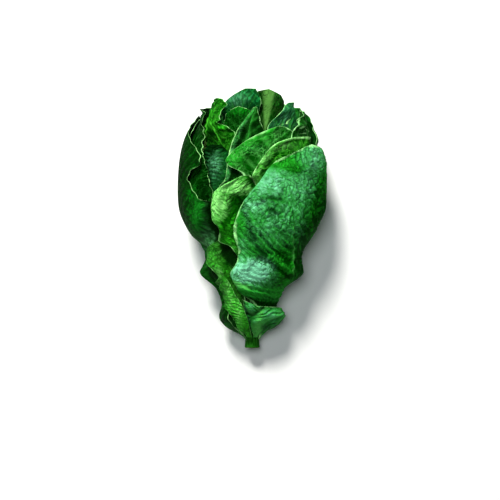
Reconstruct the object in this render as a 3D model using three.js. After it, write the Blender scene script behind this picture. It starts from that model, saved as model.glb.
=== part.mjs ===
// A small greenhouse romaine lettuce head, cut at the butt and lying on its side.
//
// Frame: millimetres, +Z up. The head lies along Y, its cut butt towards -Y and its leaf tips towards +Y.
// It is an assembly: a tapering stem, the leaves that each clasp it at the base, and a bud of young leaves.
//
// The leaves are laid from the outside in. Each keeps clear of those laid before it, so they nest as grown
// leaves do. A place on a leaf is (turn, height, inset): the turn round the head's middle line, 0 to the
// right and 90 degrees up, the height above the cut, and the depth below the head's outer skin.
import * as THREE from 'three';

// ---- Driving dimensions, mm ----
const BLADE = 0.9; // blade thickness
const CLEARANCE = 1.1; // least gap between two leaves
const STEM_GAP = 0.35; // gap between a leaf's base and the stem
const STEM_LENGTH = 42;
const STEM_SIDES = 18;

// Half width of the head by height, without the two waves at its sides.
const HALF_WIDTH = [
  [0, 4.6], [5, 5.6], [9, 8.8], [13, 13], [20, 14.2], [30, 17.8], [40, 21.2], [52, 27], [62, 31],
  [72, 37.6], [82, 42.3], [92, 43.8], [108, 43.8], [120, 42.5], [130, 39.7], [140, 34.3], [150, 31],
  [158, 29.5],
];
// The leaves' ruffled lower margins widen the head at two heights: [height, spread, amount].
const SIDE_WAVES = [[19, 6, 4.9], [45.5, 7, 6.8]];
// Half depth of the head by height.
const HALF_DEPTH = [
  [0, 4.6], [5, 5.6], [9, 8.2], [13, 11.6], [20, 16], [30, 20.5], [40, 24], [52, 28], [64, 31.5],
  [76, 34.5], [90, 36.5], [105, 37], [120, 36], [130, 34], [140, 31], [150, 28], [158, 25],
];
// Gap between the head's lower side and the table by height; below zero, the leaves are pressed flat.
const LIFT = [[0, 7], [20, 2.8], [45, 0.3], [60, -1.2], [110, -1.2], [130, 1.2], [158, 6]];
const STEM_RADIUS = [[0, 4.7], [7, 4.3], [14, 4.8], [22, 4.6], [36, 3.4], [STEM_LENGTH, 2.4]];
const HEART_RADIUS = [
  [42.8, 3], [47, 6.5], [60, 13], [78, 20], [98, 24], [114, 23], [127, 17.5], [134, 11], [137, 4],
];
const HEART_SIDES = 24;

// ---- Curves ----
const radians = (degrees) => (degrees * Math.PI) / 180;
const mix = (a, b, share) => a + (b - a) * share;
const clamp = (x, low, high) => Math.min(high, Math.max(low, x));
const smooth = (low, high, x) => {
  const share = clamp((x - low) / (high - low), 0, 1);
  return share * share * (3 - 2 * share);
};
const softMax = (a, b, blend) => (a + b + Math.hypot(a - b, blend)) / 2;

// A cubic through [x, value] stations, flat slopes taken from the neighbours.
function through(stations, x) {
  const last = stations.length - 1;
  const slope = (i) => {
    const a = stations[Math.max(0, i - 1)];
    const b = stations[Math.min(last, i + 1)];
    return (b[1] - a[1]) / (b[0] - a[0]);
  };
  const at = clamp(x, stations[0][0], stations[last][0]);
  let i = 0;
  while (i < last - 1 && at >= stations[i + 1][0]) i++;
  const [x0, v0] = stations[i];
  const [x1, v1] = stations[i + 1];
  const h = x1 - x0;
  const t = (at - x0) / h;
  const u = 1 - t;
  return v0 * (1 + 2 * t) * u * u + h * slope(i) * t * u * u
    + v1 * t * t * (3 - 2 * t) - h * slope(i + 1) * t * t * u;
}

// ---- The head's outer skin ----
function halfWidth(height) {
  const wave = ([at, spread, amount]) => amount * Math.exp(-(((height - at) / spread) ** 2));
  const waves = SIDE_WAVES.map(wave);
  return through(HALF_WIDTH, height) + waves[0] + waves[1];
}
const halfDepth = (height) => through(HALF_DEPTH, height);
const middle = (height) => halfDepth(height) + through(LIFT, height);
const meanRadius = (height) => (halfWidth(height) + halfDepth(height)) / 2;

function place(turn, height, inset) {
  const x = (halfWidth(height) - inset) * Math.cos(turn);
  const z = middle(height) + (halfDepth(height) - inset) * Math.sin(turn);
  return new THREE.Vector3(x, height, z);
}

// The turn of a point seen from above at x, some depth below the outer skin. Past the edge, x goes on round
// the side.
function turnSeen(x, height, depth) {
  const share = 1 - depth / 40;
  const edge = halfWidth(height) * share;
  if (Math.abs(x) <= edge) return Math.acos(x / edge);
  const past = (Math.abs(x) - edge) / (halfDepth(height) * share);
  return x > 0 ? -past : Math.PI + past;
}

// The inset that lies a given distance from the middle line.
function insetAt(turn, height, radius) {
  const c = Math.cos(turn) ** 2;
  const w = halfWidth(height);
  const d = halfDepth(height);
  const m = w * c + d * (1 - c);
  return m - Math.sqrt(Math.max(0, radius * radius - c * (1 - c) * (w - d) ** 2));
}

// The least inset of an outer face, so that no leaf goes through the table.
function tableInset(turn, height) {
  const down = -Math.sin(turn);
  return down > 0.2 ? halfDepth(height) - middle(height) / down : -Infinity;
}

// ---- What the leaves laid so far fill: the deepest inset reached, by turn and height ----
const TURNS = 120;
const HEIGHTS = 81;
const HEIGHT_STEP = 2;
const NOTHING = -12;
let filled = new Float64Array(TURNS * HEIGHTS).fill(NOTHING);
let limit = filled.slice();

// The value on the grid at a place, between its four nearest cells.
function limitAt(turn, height) {
  const a = ((turn / (2 * Math.PI)) * TURNS + 4 * TURNS) % TURNS;
  const h = clamp(height / HEIGHT_STEP, 0, HEIGHTS - 1.001);
  const i = Math.floor(a);
  const j = Math.floor(h);
  const cell = (k, l) => limit[(k % TURNS) * HEIGHTS + l];
  const low = mix(cell(i, j), cell(i + 1, j), a - i);
  const high = mix(cell(i, j + 1), cell(i + 1, j + 1), a - i);
  return mix(low, high, h - j);
}

function stamp(turn, height, inset) {
  const i = Math.round(((turn / (2 * Math.PI)) * TURNS + 4 * TURNS)) % TURNS;
  const j = clamp(Math.round(height / HEIGHT_STEP), 0, HEIGHTS - 1);
  filled[i * HEIGHTS + j] = Math.max(filled[i * HEIGHTS + j], inset);
}

// One pass of a filter over the neighbours, so many cells either way in turn and in height. Round the stem,
// where the leaves are packed close, it reaches less far.
function pass(grid, low, high, combine) {
  const reach = (n, k) => {
    const height = (n % HEIGHTS) * HEIGHT_STEP;
    return Math.round(mix(low[k], high[k], smooth(20, 60, height)));
  };
  const along = (source, k, at) => Float64Array.from(source, (_, n) => {
    const values = [];
    for (let step = -reach(n, k); step <= reach(n, k); step++) values.push(source[at(n, step)]);
    return combine(values);
  });
  const turned = along(grid, 0, (n, step) => (n + step * HEIGHTS + grid.length) % grid.length);
  return along(turned, 1, (n, step) => {
    const row = Math.floor(n / HEIGHTS);
    return row * HEIGHTS + clamp(n - row * HEIGHTS + step, 0, HEIGHTS - 1);
  });
}

function renewLimit() {
  const mean = (values) => values.reduce((a, b) => a + b) / values.length;
  const wide = pass(filled, [2, 1], [4, 4], (values) => Math.max(...values));
  limit = pass(pass(wide, [1, 1], [1, 2], mean), [1, 1], [1, 1], mean);
}

// ---- A leaf ----
// rows: stations from base to tip, each [left, spine, right], a place being [turn, height], seen from
// outside with the base down. Between the stations the outline is a smooth curve.
function leafOutline(rows) {
  const curves = [0, 1, 2].map((n) => {
    const places = rows.map((row) => new THREE.Vector2(...row[n]));
    return new THREE.SplineCurve(places);
  });
  return (s) => curves.map((curve) => curve.getPoint(s));
}

function makeLeaf(leaf) {
  const outline = leafOutline(leaf.rows);
  const [footLeft, footSpine, footRight] = outline(0);
  const baseHeight = footSpine.y;
  const tipHeight = outline(1)[1].y;
  // The turn, the height and the two faces' insets, at s along the leaf and t across, -1 left to 1 right.
  const at = (s, t) => {
    const [left, spine, right] = outline(s);
    const margin = t < 0 ? left : right;
    const share = Math.abs(t);
    const height = mix(spine.y, margin.y, share);
    const radius = meanRadius(height);
    const half = Math.hypot((margin.x - spine.x) * radius, margin.y - spine.y);
    const across = share * half;
    const fromMargin = half - across;
    // The midrib: a ridge on the outer face, thick at the base and thin at the tip.
    const ribHalf = mix(leaf.rib[0], 0.8, s ** 0.7) * 1.25;
    const rib = leaf.rib[1] * (1 - s) ** 0.8 * Math.exp(-((across / ribHalf) ** 2));
    // Near its base the leaf keeps to the stem, and to its own part of the turn.
    const near = 1 - smooth(0, leaf.clasp, height - baseHeight);
    const foot = mix(footSpine.x, (t < 0 ? footLeft : footRight).x, share);
    const turn = mix(mix(spine.x, margin.x, share), foot, near);
    const outer = BLADE / 2 + 0.5 * near + 0.7 * rib;
    const inner = BLADE / 2 + 0.3 * rib;
    // Waves of the margin, and its turned edges.
    const wave = leaf.ruffle[0] * share ** 3 * smooth(0.12, 0.4, s)
      * Math.sin(2 * Math.PI * leaf.ruffle[1] * s + leaf.ruffle[2] * Math.sign(t));
    let raise = wave;
    for (const fold of leaf.folds) {
      if (fold.side * t <= 0) continue;
      const started = smooth(fold.from - 0.06, fold.from + 0.06, s);
      const ended = smooth(fold.to - 0.04, fold.to + 0.04, s);
      const reach = started * (1 - ended);
      const x = clamp(fromMargin / fold.width, 0, 1);
      const shape = fold.rolled ? Math.sin(Math.PI * x ** 0.8) : (1 - x) ** 2;
      raise += fold.raise * reach * shape;
    }
    raise += leaf.puff * Math.sin(Math.PI * clamp(s * 1.25 - 0.25, 0, 1)) * (1 - share * share);
    const deep = through(leaf.inset, s) - raise;
    const clasp = insetAt(turn, height, through(STEM_RADIUS, height) + STEM_GAP + inner);
    const nested = Math.min(softMax(deep, limitAt(turn, height) + CLEARANCE + outer, 0.8), clasp);
    const mid = Math.max(mix(nested, clasp, near), tableInset(turn, height) + outer);
    return { turn, height, outer: mid - outer, inner: mid + inner };
  };

  // The rows of the mesh lie a little closer at the base and at the tip.
  const station = (share) => {
    const wanted = mix(baseHeight, tipHeight, mix(share, smooth(0, 1, share), 0.65));
    let [low, high] = [0, 1];
    for (let k = 0; k < 24; k++) {
      const middleOf = (low + high) / 2;
      if (outline(middleOf)[1].y < wanted) low = middleOf;
      else high = middleOf;
    }
    return share === 0 ? 0 : high;
  };
  const geometry = sheet((share, t) => at(station(share), t), leaf.grid);
  // The leaf's room is marked on a finer grid than its mesh.
  const FINE = [110, 70];
  for (let i = 0; i <= FINE[0]; i++) {
    for (let j = 0; j <= FINE[1]; j++) {
      const { turn, height, inner } = at(i / FINE[0], (2 * j) / FINE[1] - 1);
      stamp(turn, height, inner);
    }
  }
  renewLimit();
  return geometry;
}

// A closed sheet with the same triangles on both faces, joined round its rim.
function sheet(at, [rows, columns]) {
  const faces = ['outer', 'inner'];
  const corners = [];
  for (const face of faces) {
    for (let i = 0; i <= rows; i++) {
      for (let j = 0; j <= columns; j++) {
        const spot = at(i / rows, (2 * j) / columns - 1);
        corners.push(...place(spot.turn, spot.height, spot[face]).toArray());
      }
    }
  }
  const span = columns + 1;
  const inside = (rows + 1) * span;
  const index = [];
  for (let i = 0; i < rows; i++) {
    for (let j = 0; j < columns; j++) {
      const a = i * span + j;
      const [b, c, d] = [a + 1, a + span, a + span + 1];
      const halves = (i + j) % 2 ? [[a, b, d], [a, d, c]] : [[a, b, c], [b, d, c]];
      for (const [p, q, r] of halves) index.push(p, q, r, inside + p, inside + r, inside + q);
    }
  }
  const rim = [];
  for (let j = 0; j < columns; j++) rim.push(j);
  for (let i = 0; i < rows; i++) rim.push(i * span + columns);
  for (let j = columns; j > 0; j--) rim.push(rows * span + j);
  for (let i = rows; i > 0; i--) rim.push(i * span);
  rim.forEach((p, n) => {
    const q = rim[(n + 1) % rim.length];
    index.push(q, p, inside + p, q, inside + p, inside + q);
  });
  const geometry = new THREE.BufferGeometry();
  geometry.setAttribute('position', new THREE.Float32BufferAttribute(corners, 3));
  geometry.setIndex(index);
  return geometry;
}

// ---- The leaves, outermost first ----
// Outline rows as seen from above, left margin, spine and right margin: x from the middle line, y above the
// cut. The base row is given by its turn in degrees and its height, and depth is how deep the leaf lies.
function seen(turn, base, depth, rows) {
  const foot = [20, 0, -20].map((side) => [radians(turn + side), base]);
  return [foot, ...rows.map((row) => row.map(([x, y]) => [turnSeen(x, y, depth), y]))];
}

// Outline rows of a leaf on the head's side or back, from its turn in degrees, heights and half width.
const OUTLINE = [
  [0, 0], [0.1, 0.15], [0.3, 0.5], [0.52, 0.92], [0.68, 1], [0.82, 0.92], [0.92, 0.7], [0.975, 0.44],
  [1, 0.2],
];
function plain(turn, lean, base, tip, half) {
  return OUTLINE.map(([s, share]) => {
    const spine = radians(turn + lean * s);
    const height = mix(base, tip, s);
    const reach = Math.max((half * share) / meanRadius(height), radians(20));
    const drop = 4 * smooth(0.8, 1, s) * share;
    return [[spine + reach, height - drop], [spine, height], [spine - reach, height - drop]];
  });
}

const RIGHT = 1;
const LEFT = -1;
const SHOWN = [16, 11]; // grid of a leaf that shows most
const PARTLY = [14, 9]; // grid of a leaf that shows a little
const TUCKED = [12, 7]; // grid of a leaf that is mostly covered
const DEEP_GREEN = '#1f6b2a';
const LEAF_GREEN = '#2f8a34';
const LIME = '#6fb84a';
const BLUE_GREEN = '#2b7a52';

// An edge turned up or rolled over, between two shares of the leaf's length, so high and so wide.
const turned = (side, from, to, raise, width) => ({ side, from, to, raise, width, rolled: false });
const rolled = (side, from, to, raise, width) => ({ side, from, to, raise, width, rolled: true });

// rib: half width at the base and height of the midrib. ruffle: height, count and phase of the margin's
// waves. clasp: length of the base that hugs the stem. inset: depth below the outer skin along the leaf.
const leafDefaults = {
  grid: TUCKED,
  rib: [2.6, 1.8],
  ruffle: [1.2, 3, 0],
  folds: [],
  puff: 0,
  clasp: 9,
  inset: [[0, 0], [0.5, 0.4], [1, 0.8]],
};

const LEAVES = {
  leaf_low_left: {
    colour: LIME, rib: [2.4, 1.6], ruffle: [0.5, 3, 0], clasp: 6, grid: [12, 8],
    inset: [[0, 0], [0.6, 0.3], [1, 1]],
    rows: seen(115, 6.5, 0.5, [
      [[-9, 13], [-4.6, 13], [-1.6, 13.5]],
      [[-11, 17.5], [-6, 18], [-2.4, 18]],
      [[-14.4, 22.5], [-8, 22], [-3.8, 22]],
      [[-17, 27], [-10.5, 26.5], [-6, 27]],
      [[-18, 32], [-13.2, 31], [-9, 31.5]],
      [[-19.4, 36.5], [-15.2, 36], [-11.4, 36]],
      [[-19.8, 39.4], [-16.4, 39.8], [-13.2, 39.2]],
      [[-18.9, 42], [-17, 43], [-15, 42]],
    ]),
  },
  leaf_low_right: {
    colour: LEAF_GREEN, rib: [2.4, 1.2], ruffle: [0.5, 2, 0.5], clasp: 6, grid: [9, 10],
    inset: [[0, 0], [0.6, 0.2], [1, 0.4]],
    rows: seen(63, 6.5, 0.5, [
      [[-3.4, 13], [3, 13.5], [13, 12.5]],
      [[-4.2, 17], [4, 17.5], [21.5, 16]],
      [[-5, 20.5], [5, 21], [23, 19.5]],
      [[-6, 25.5], [4.4, 24], [22.6, 22]],
      [[-6.8, 30.5], [3.4, 26.4], [20, 24.6]],
    ]),
  },
  leaf_front_right: {
    colour: LEAF_GREEN, grid: [22, 14], rib: [2.8, 1.7], ruffle: [0.5, 4, 1], puff: 1.2, clasp: 9,
    inset: [[0, 1], [0.16, 3], [0.25, 3.2], [0.36, 0.6], [0.6, 0.3], [1, 0.6]],
    folds: [rolled(LEFT, 0.24, 0.42, 1.8, 12), turned(LEFT, 0.5, 0.97, 0.9, 6)],
    rows: seen(10, 5.5, 0.8, [
      [[8, 14], [12, 14], [16, 14]],
      [[7, 22], [15.5, 21.5], [22, 21]],
      [[0, 28.5], [18, 30], [23.5, 30]],
      [[-8, 34], [20.2, 38], [33, 38]],
      [[-12.5, 41], [23.4, 47], [44, 48]],
      [[-9.5, 52.5], [25.2, 59], [48, 60]],
      [[-8.5, 60], [25.8, 66], [54, 68]],
      [[-10.8, 71], [27, 77], [62, 78]],
      [[-5.4, 87.5], [28.8, 90], [64, 90]],
      [[3, 98.5], [31.2, 102], [62, 102]],
      [[12, 110.5], [33, 112], [56, 112]],
      [[23, 116.5], [33.6, 118.5], [47, 116.5]],
      [[28, 119], [34.2, 120.8], [42.5, 119.4]],
      [[31.5, 120.6], [34.8, 122.2], [38.5, 121.3]],
    ]),
  },
  leaf_mid_left: {
    colour: LIME, rib: [2.2, 1], ruffle: [0.5, 3, 2], clasp: 8, grid: SHOWN,
    inset: [[0, 3], [0.4, 3], [0.6, 1], [1, 0.2]],
    folds: [rolled(LEFT, 0.5, 0.97, 3.4, 13)],
    rows: seen(60, 13, 1.5, [
      [[0, 22], [3.5, 22], [7, 22]],
      [[-3, 38], [2, 38], [9, 38]],
      [[-8, 52], [-3, 52], [9, 52]],
      [[-13, 61], [-7, 62], [8, 62]],
      [[-19, 66], [-11, 70], [8, 70]],
      [[-18.5, 71], [-13, 77], [7, 78]],
      [[-22.5, 77], [-14, 84], [6, 86]],
      [[-23, 86], [-14, 91], [5, 92]],
      [[-21.5, 93], [-12, 96.5], [3, 97]],
      [[-16.5, 97], [-9, 100], [1, 101]],
      [[-9, 101.5], [-5.5, 103], [-1, 103.5]],
    ]),
  },
  leaf_lobe_left: {
    colour: LIME, rib: [2, 1], ruffle: [0.7, 4, 0], clasp: 8, grid: PARTLY,
    inset: [[0, 2], [0.5, 1.5], [1, 2.5]],
    rows: seen(105, 15, 4.5, [
      [[-11, 28], [-8, 28], [-4.5, 28]],
      [[-18, 36], [-12, 36], [-6, 37]],
      [[-21, 40], [-15, 43], [-6, 43]],
      [[-20.2, 43], [-16.6, 48], [-6, 49]],
      [[-22.4, 48], [-18, 53], [-6, 54]],
      [[-25.6, 52.5], [-18.6, 57], [-6, 58]],
      [[-26.2, 57], [-18.4, 61], [-7, 63]],
      [[-24.4, 61.5], [-17.6, 65], [-8, 68]],
      [[-21, 66], [-16, 69], [-9, 72]],
      [[-18, 73], [-14.5, 75], [-11, 75]],
    ]),
  },
  leaf_outer_left: {
    colour: DEEP_GREEN, grid: [20, 12], rib: [2.8, 1.7], ruffle: [0.6, 4, 0.6], clasp: 6, puff: 0.6,
    folds: [turned(RIGHT, 0.55, 0.97, 1, 5)],
    rows: seen(167, 5.5, 0.8, [
      [[-21, 15], [-16.5, 15], [-12, 15]],
      [[-26, 26], [-19, 26], [-14.5, 25]],
      [[-32, 38], [-22, 38], [-17.5, 36]],
      [[-44, 50], [-31, 50], [-20, 48]],
      [[-50, 62], [-32, 62], [-20, 60]],
      [[-60, 74], [-38, 74], [-19.5, 66]],
      [[-66, 86], [-43, 86], [-22.5, 74]],
      [[-68, 98], [-45, 96], [-24, 86]],
      [[-67, 108], [-45.5, 105], [-31, 90.5]],
      [[-63, 116], [-45, 112], [-37, 103]],
      [[-58, 125], [-44, 119.5], [-29.5, 110]],
      [[-53, 132], [-42.5, 128], [-30.5, 117]],
      [[-47, 138], [-41, 135.5], [-36.6, 126]],
      [[-41, 141], [-38.6, 141], [-36.2, 137]],
    ]),
  },
  leaf_back_middle: {
    colour: DEEP_GREEN,
    grid: SHOWN,
    clasp: 7,
    inset: [[0, 0], [0.5, 0.3], [1, 0.6]],
    ruffle: [1, 4, 1.6],
    rows: plain(269, 3, 5.5, 157.6, 37),
  },
  leaf_back_right: {
    colour: DEEP_GREEN,
    grid: [18, 12],
    clasp: 7,
    inset: [[0, 0], [0.12, 1.8], [0.21, 4.4], [0.36, 1.4], [0.6, 1], [1, 0.8]],
    ruffle: [1.2, 4, 0.4],
    rows: plain(320, 4, 5.5, 147, 35),
  },
  leaf_back_left: {
    colour: DEEP_GREEN,
    grid: SHOWN,
    clasp: 9,
    inset: [[0, 0], [0.14, 1.8], [0.5, 0.7], [1, 0.8]],
    ruffle: [1.2, 4, 2.4],
    rows: plain(218, 0, 5.5, 147, 36),
  },
  leaf_rolled_edge: {
    colour: LIME, ruffle: [0.3, 3, 0], rib: [2.2, 1.3], grid: SHOWN,
    inset: [[0, 2], [0.5, 2.2], [1, 1]],
    folds: [rolled(LEFT, 0.6, 0.97, 2.2, 5)],
    rows: seen(15, 13, 3.5, [
      [[8, 24], [13, 24], [17, 24]],
      [[6, 40], [14, 40], [21, 40]],
      [[3, 56], [16, 56], [26, 56]],
      [[1, 72], [18, 72], [33, 74]],
      [[-1, 88], [21, 88], [38, 92]],
      [[-1, 98], [24, 101], [39, 108]],
      [[0, 104], [27, 110], [38, 114]],
      [[5, 112.5], [28.5, 116], [37, 118]],
      [[12, 121.5], [30, 120.5], [36, 121]],
      [[22, 125.5], [31, 124], [35, 124]],
      [[28.5, 126.5], [31, 126.8], [33.5, 126.5]],
    ]),
  },
  leaf_right_inner: {
    colour: LEAF_GREEN, rib: [2.2, 1.3], ruffle: [1.6, 7, 0.3],
    inset: [[0, 3], [0.25, 4.4], [0.5, 3.2], [1, 0.5]], grid: PARTLY,
    rows: seen(-30, 13, 3.5, [
      [[18, 28], [21, 28], [25, 28]],
      [[22, 50], [31, 50], [40, 50]],
      [[24, 74], [36, 74], [52, 74]],
      [[27, 96], [40, 96], [55, 96]],
      [[26, 114], [39, 114], [52, 114]],
      [[24, 126], [36, 127], [47, 126]],
      [[25, 134], [34.5, 135], [43, 133]],
      [[27, 139], [33, 140.5], [39.5, 138.5]],
      [[29, 142.6], [32, 144], [35.5, 142.4]],
    ]),
  },
  leaf_oval_tip: {
    colour: LEAF_GREEN, rib: [2, 1.2], ruffle: [0.3, 3, 0], grid: SHOWN,
    inset: [[0, 4], [0.5, 4], [1, 2.6]],
    rows: seen(76, 20, 6, [
      [[-3, 34], [1, 34], [7, 34]],
      [[-7, 52], [0, 52], [11, 52]],
      [[-9, 72], [0, 72], [16, 72]],
      [[-7, 88], [2, 88], [21, 88]],
      [[-4, 98], [4, 99], [25, 102]],
      [[-6.5, 105], [6, 107], [28, 113]],
      [[-13.8, 109.5], [8, 114], [30, 120]],
      [[-13.2, 114.6], [10, 120], [31, 125]],
      [[-4.2, 123], [13, 125.5], [30, 128]],
      [[6, 129], [16, 129.5], [26, 130.5]],
      [[14, 132.4], [18, 132.8], [22, 132.4]],
    ]),
  },
  leaf_folded_margin: {
    colour: DEEP_GREEN, rib: [2.2, 1.3], ruffle: [0.3, 3, 0], grid: SHOWN,
    inset: [[0, 3.5], [0.5, 4], [1, 4.5]],
    folds: [rolled(LEFT, 0.5, 0.97, 1.6, 4.5)],
    rows: seen(150, 13, 5.5, [
      [[-13, 28], [-9, 28], [-5, 30]],
      [[-16, 46], [-9, 46], [-2, 48]],
      [[-19, 64], [-9, 64], [0, 66]],
      [[-21, 82], [-8, 82], [2, 84]],
      [[-21, 94.5], [-7, 97], [5, 100]],
      [[-17, 101], [-6, 107], [8, 114]],
      [[-15.5, 110], [-5, 116], [9, 122]],
      [[-13.5, 120], [-3.5, 124], [8, 129]],
      [[-9.5, 128.5], [-2, 131.5], [6, 134]],
      [[-4, 137], [0, 138.2], [4, 139.4]],
      [[0.6, 143.4], [1.8, 144], [3, 143.6]],
    ]),
  },
  leaf_left_inner: {
    colour: DEEP_GREEN, rib: [2.2, 1.3], ruffle: [1, 5, 1.2], grid: PARTLY,
    inset: [[0, 3], [0.3, 4.2], [0.5, 3.2], [1, 1.6]],
    rows: seen(195, 13, 5.5, [
      [[-27, 28], [-20, 28], [-15, 28]],
      [[-46, 48], [-32, 48], [-20, 48]],
      [[-54, 66], [-36, 66], [-22, 66]],
      [[-60, 84], [-40, 84], [-25, 84]],
      [[-62, 100], [-40, 100], [-26.5, 98]],
      [[-58, 112], [-38, 112], [-26, 110]],
      [[-50, 122], [-37, 122], [-27, 120]],
      [[-45, 130], [-36, 131], [-26.5, 129]],
      [[-41.5, 136], [-34, 137.5], [-26.5, 136]],
      [[-37.5, 141.6], [-32, 143.4], [-26.5, 141.6]],
      [[-33.5, 144.4], [-30.6, 145.6], [-27.5, 144.2]],
    ]),
  },
  leaf_blue_back: {
    colour: BLUE_GREEN, rib: [2, 1.2], ruffle: [0.3, 3, 0], puff: 1, grid: PARTLY,
    inset: [[0, 5], [0.5, 5], [1, 5]],
    rows: seen(176, 20, 10.5, [
      [[-20, 36], [-15, 36], [-10, 36]],
      [[-26, 56], [-18, 56], [-9, 56]],
      [[-29, 76], [-20.5, 76], [-10, 76]],
      [[-28, 92], [-21, 92], [-12, 92]],
      [[-28, 102], [-21.5, 104], [-12.5, 104]],
      [[-28, 110], [-21, 112], [-13, 113]],
      [[-26, 117], [-20.5, 119], [-15, 119]],
      [[-23.5, 121], [-20.5, 122], [-17, 121.6]],
    ]),
  },
  leaf_under_right: {
    colour: DEEP_GREEN,
    inset: [[0, 3], [0.5, 3], [1, 2.5]],
    rows: plain(285, 14, 13, 150, 32),
  },
  leaf_under_left: {
    colour: DEEP_GREEN,
    inset: [[0, 3], [0.5, 3], [1, 2.5]],
    rows: plain(240, 2, 13, 151, 32),
  },
  leaf_upper_right: {
    colour: BLUE_GREEN, rib: [2, 1.2], ruffle: [0.6, 4, 1], grid: PARTLY,
    inset: [[0, 6], [0.2, 10], [0.5, 7.5], [1, 6.5]],
    rows: seen(32, 20, 7.5, [
      [[9, 44], [15, 44], [20, 44]],
      [[9, 72], [19, 72], [28, 72]],
      [[10, 96], [22, 96], [34, 96]],
      [[10, 114], [24, 114], [37, 114]],
      [[10.5, 126], [25, 127], [37, 126]],
      [[10.5, 133], [26, 134], [36.5, 133]],
      [[15, 139], [27, 140], [35.5, 138.5]],
      [[18.6, 144], [27, 145.5], [33.5, 144]],
      [[22.5, 147.8], [26.5, 149], [30.5, 147.4]],
    ]),
  },
  leaf_upper_left: {
    colour: LIME, rib: [2, 1.2], ruffle: [1, 6, 1], grid: PARTLY, inset: [[0, 6], [0.5, 6.5], [1, 7]],
    rows: seen(126, 22, 9, [
      [[-12.5, 32], [-9, 32], [-5.8, 32]],
      [[-17, 46], [-11, 46], [-5.5, 46]],
      [[-24, 72], [-14, 72], [-4, 72]],
      [[-28, 96], [-17, 96], [-5, 96]],
      [[-29, 114], [-19, 114], [-7, 114]],
      [[-28.5, 122], [-20, 124], [-9.5, 126]],
      [[-28.5, 130], [-21, 131], [-13.5, 132]],
      [[-28.5, 136], [-22, 136.5], [-18.8, 135.5]],
      [[-28.5, 141], [-22.5, 141.5], [-17.5, 141]],
      [[-27.5, 145.3], [-21.5, 147], [-15, 145.5]],
      [[-24.5, 149], [-20.5, 150.6], [-16.5, 149.3]],
    ]),
  },
  leaf_top_back_right: {
    colour: DEEP_GREEN,
    inset: [[0, 6], [0.5, 6], [1, 5]],
    rows: plain(314, 8, 20, 151, 28),
  },
  leaf_top_middle: {
    colour: DEEP_GREEN, rib: [1.8, 1], ruffle: [0.8, 4, 0], grid: PARTLY,
    inset: [[0, 8], [0.5, 9], [1, 11]],
    rows: seen(89, 30, 11, [
      [[-5, 40], [-2, 40], [2, 40]],
      [[-14, 62], [-5, 62], [4, 62]],
      [[-20, 96], [-7, 96], [6, 96]],
      [[-22, 122], [-8, 122], [7, 122]],
      [[-21, 131], [-8, 132], [6, 132]],
      [[-18.5, 138.5], [-8.5, 140.5], [3, 139.5]],
      [[-14.5, 143], [-9, 145], [-3.5, 143.5]],
    ]),
  },
  leaf_top_back: {
    colour: BLUE_GREEN, rib: [2, 1.2], ruffle: [0.5, 4, 0], grid: PARTLY,
    inset: [[0, 9], [0.5, 12], [1, 14]],
    rows: seen(140, 35, 14, [
      [[-12, 41], [-9, 41], [-5.5, 41]],
      [[-14, 62], [-8, 62], [-2, 62]],
      [[-18, 96], [-8.5, 96], [1, 96]],
      [[-20, 122], [-9, 122], [2, 122]],
      [[-20, 138], [-8.5, 138], [4, 138]],
      [[-18.6, 148], [-7, 149.6], [6, 149]],
      [[-13, 153], [-5, 156.4], [3, 156.2]],
    ]),
  },
  leaf_pale_rib: {
    colour: LIME, rib: [4.2, 1.4], ruffle: [0.6, 4, 1], grid: PARTLY,
    inset: [[0, 8], [0.5, 10], [1, 12]],
    rows: seen(48, 31, 13, [
      [[5, 40], [9, 40], [13, 40]],
      [[-2, 60], [6, 60], [14, 60]],
      [[-4, 96], [8, 96], [20, 96]],
      [[-4, 122], [8, 122], [22, 122]],
      [[-2, 134], [8, 134], [22, 136]],
      [[0, 146], [9.5, 147], [22.5, 146.5]],
      [[5, 154.8], [11, 156], [19, 152.8]],
    ]),
  },
  leaf_heart_left: {
    colour: LIME,
    rib: [1.8, 1],
    inset: [[0, 10], [0.15, 15], [0.5, 12], [1, 11]],
    rows: plain(200, 10, 28, 132, 20),
  },
  leaf_heart_right: {
    colour: LIME,
    rib: [1.8, 1],
    inset: [[0, 9], [0.5, 10], [1, 11]],
    rows: plain(310, 20, 28, 138, 20),
  },
};

// ---- The stem and the heart: closed bodies round the head's middle line ----
// point: the place at a turn and a height. The ends are closed flat.
function roundBody(heights, sides, point) {
  const corners = [];
  const ring = (height) => [...Array(sides).keys()].map((n) => point((2 * Math.PI * n) / sides, height));
  for (const height of heights) corners.push(...ring(height));
  const centres = [heights[0], heights.at(-1)].map((height) => {
    const sum = ring(height).reduce((a, b) => a.add(b), new THREE.Vector3());
    return sum.divideScalar(sides);
  });
  const index = [];
  const foot = corners.length;
  const top = foot - sides;
  for (let n = 0; n < sides; n++) {
    const next = (n + 1) % sides;
    for (let r = 0; r < top; r += sides) {
      index.push(r + n, r + n + sides, r + next, r + next, r + n + sides, r + next + sides);
    }
    index.push(foot, n, next, foot + 1, top + next, top + n);
  }
  const flat = [...corners, ...centres].flatMap((corner) => corner.toArray());
  const geometry = new THREE.BufferGeometry();
  geometry.setAttribute('position', new THREE.Float32BufferAttribute(flat, 3));
  geometry.setIndex(index);
  return geometry;
}

// The tapering stem, with the flat cut at its foot.
function makeStem() {
  const heights = [0, 3.5, 7, 11, 14, 22, 30, 36, STEM_LENGTH];
  return roundBody(heights, STEM_SIDES, (turn, height) => {
    const radius = through(STEM_RADIUS, height);
    return new THREE.Vector3(radius * Math.cos(turn), height, middle(height) + radius * Math.sin(turn));
  });
}

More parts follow.
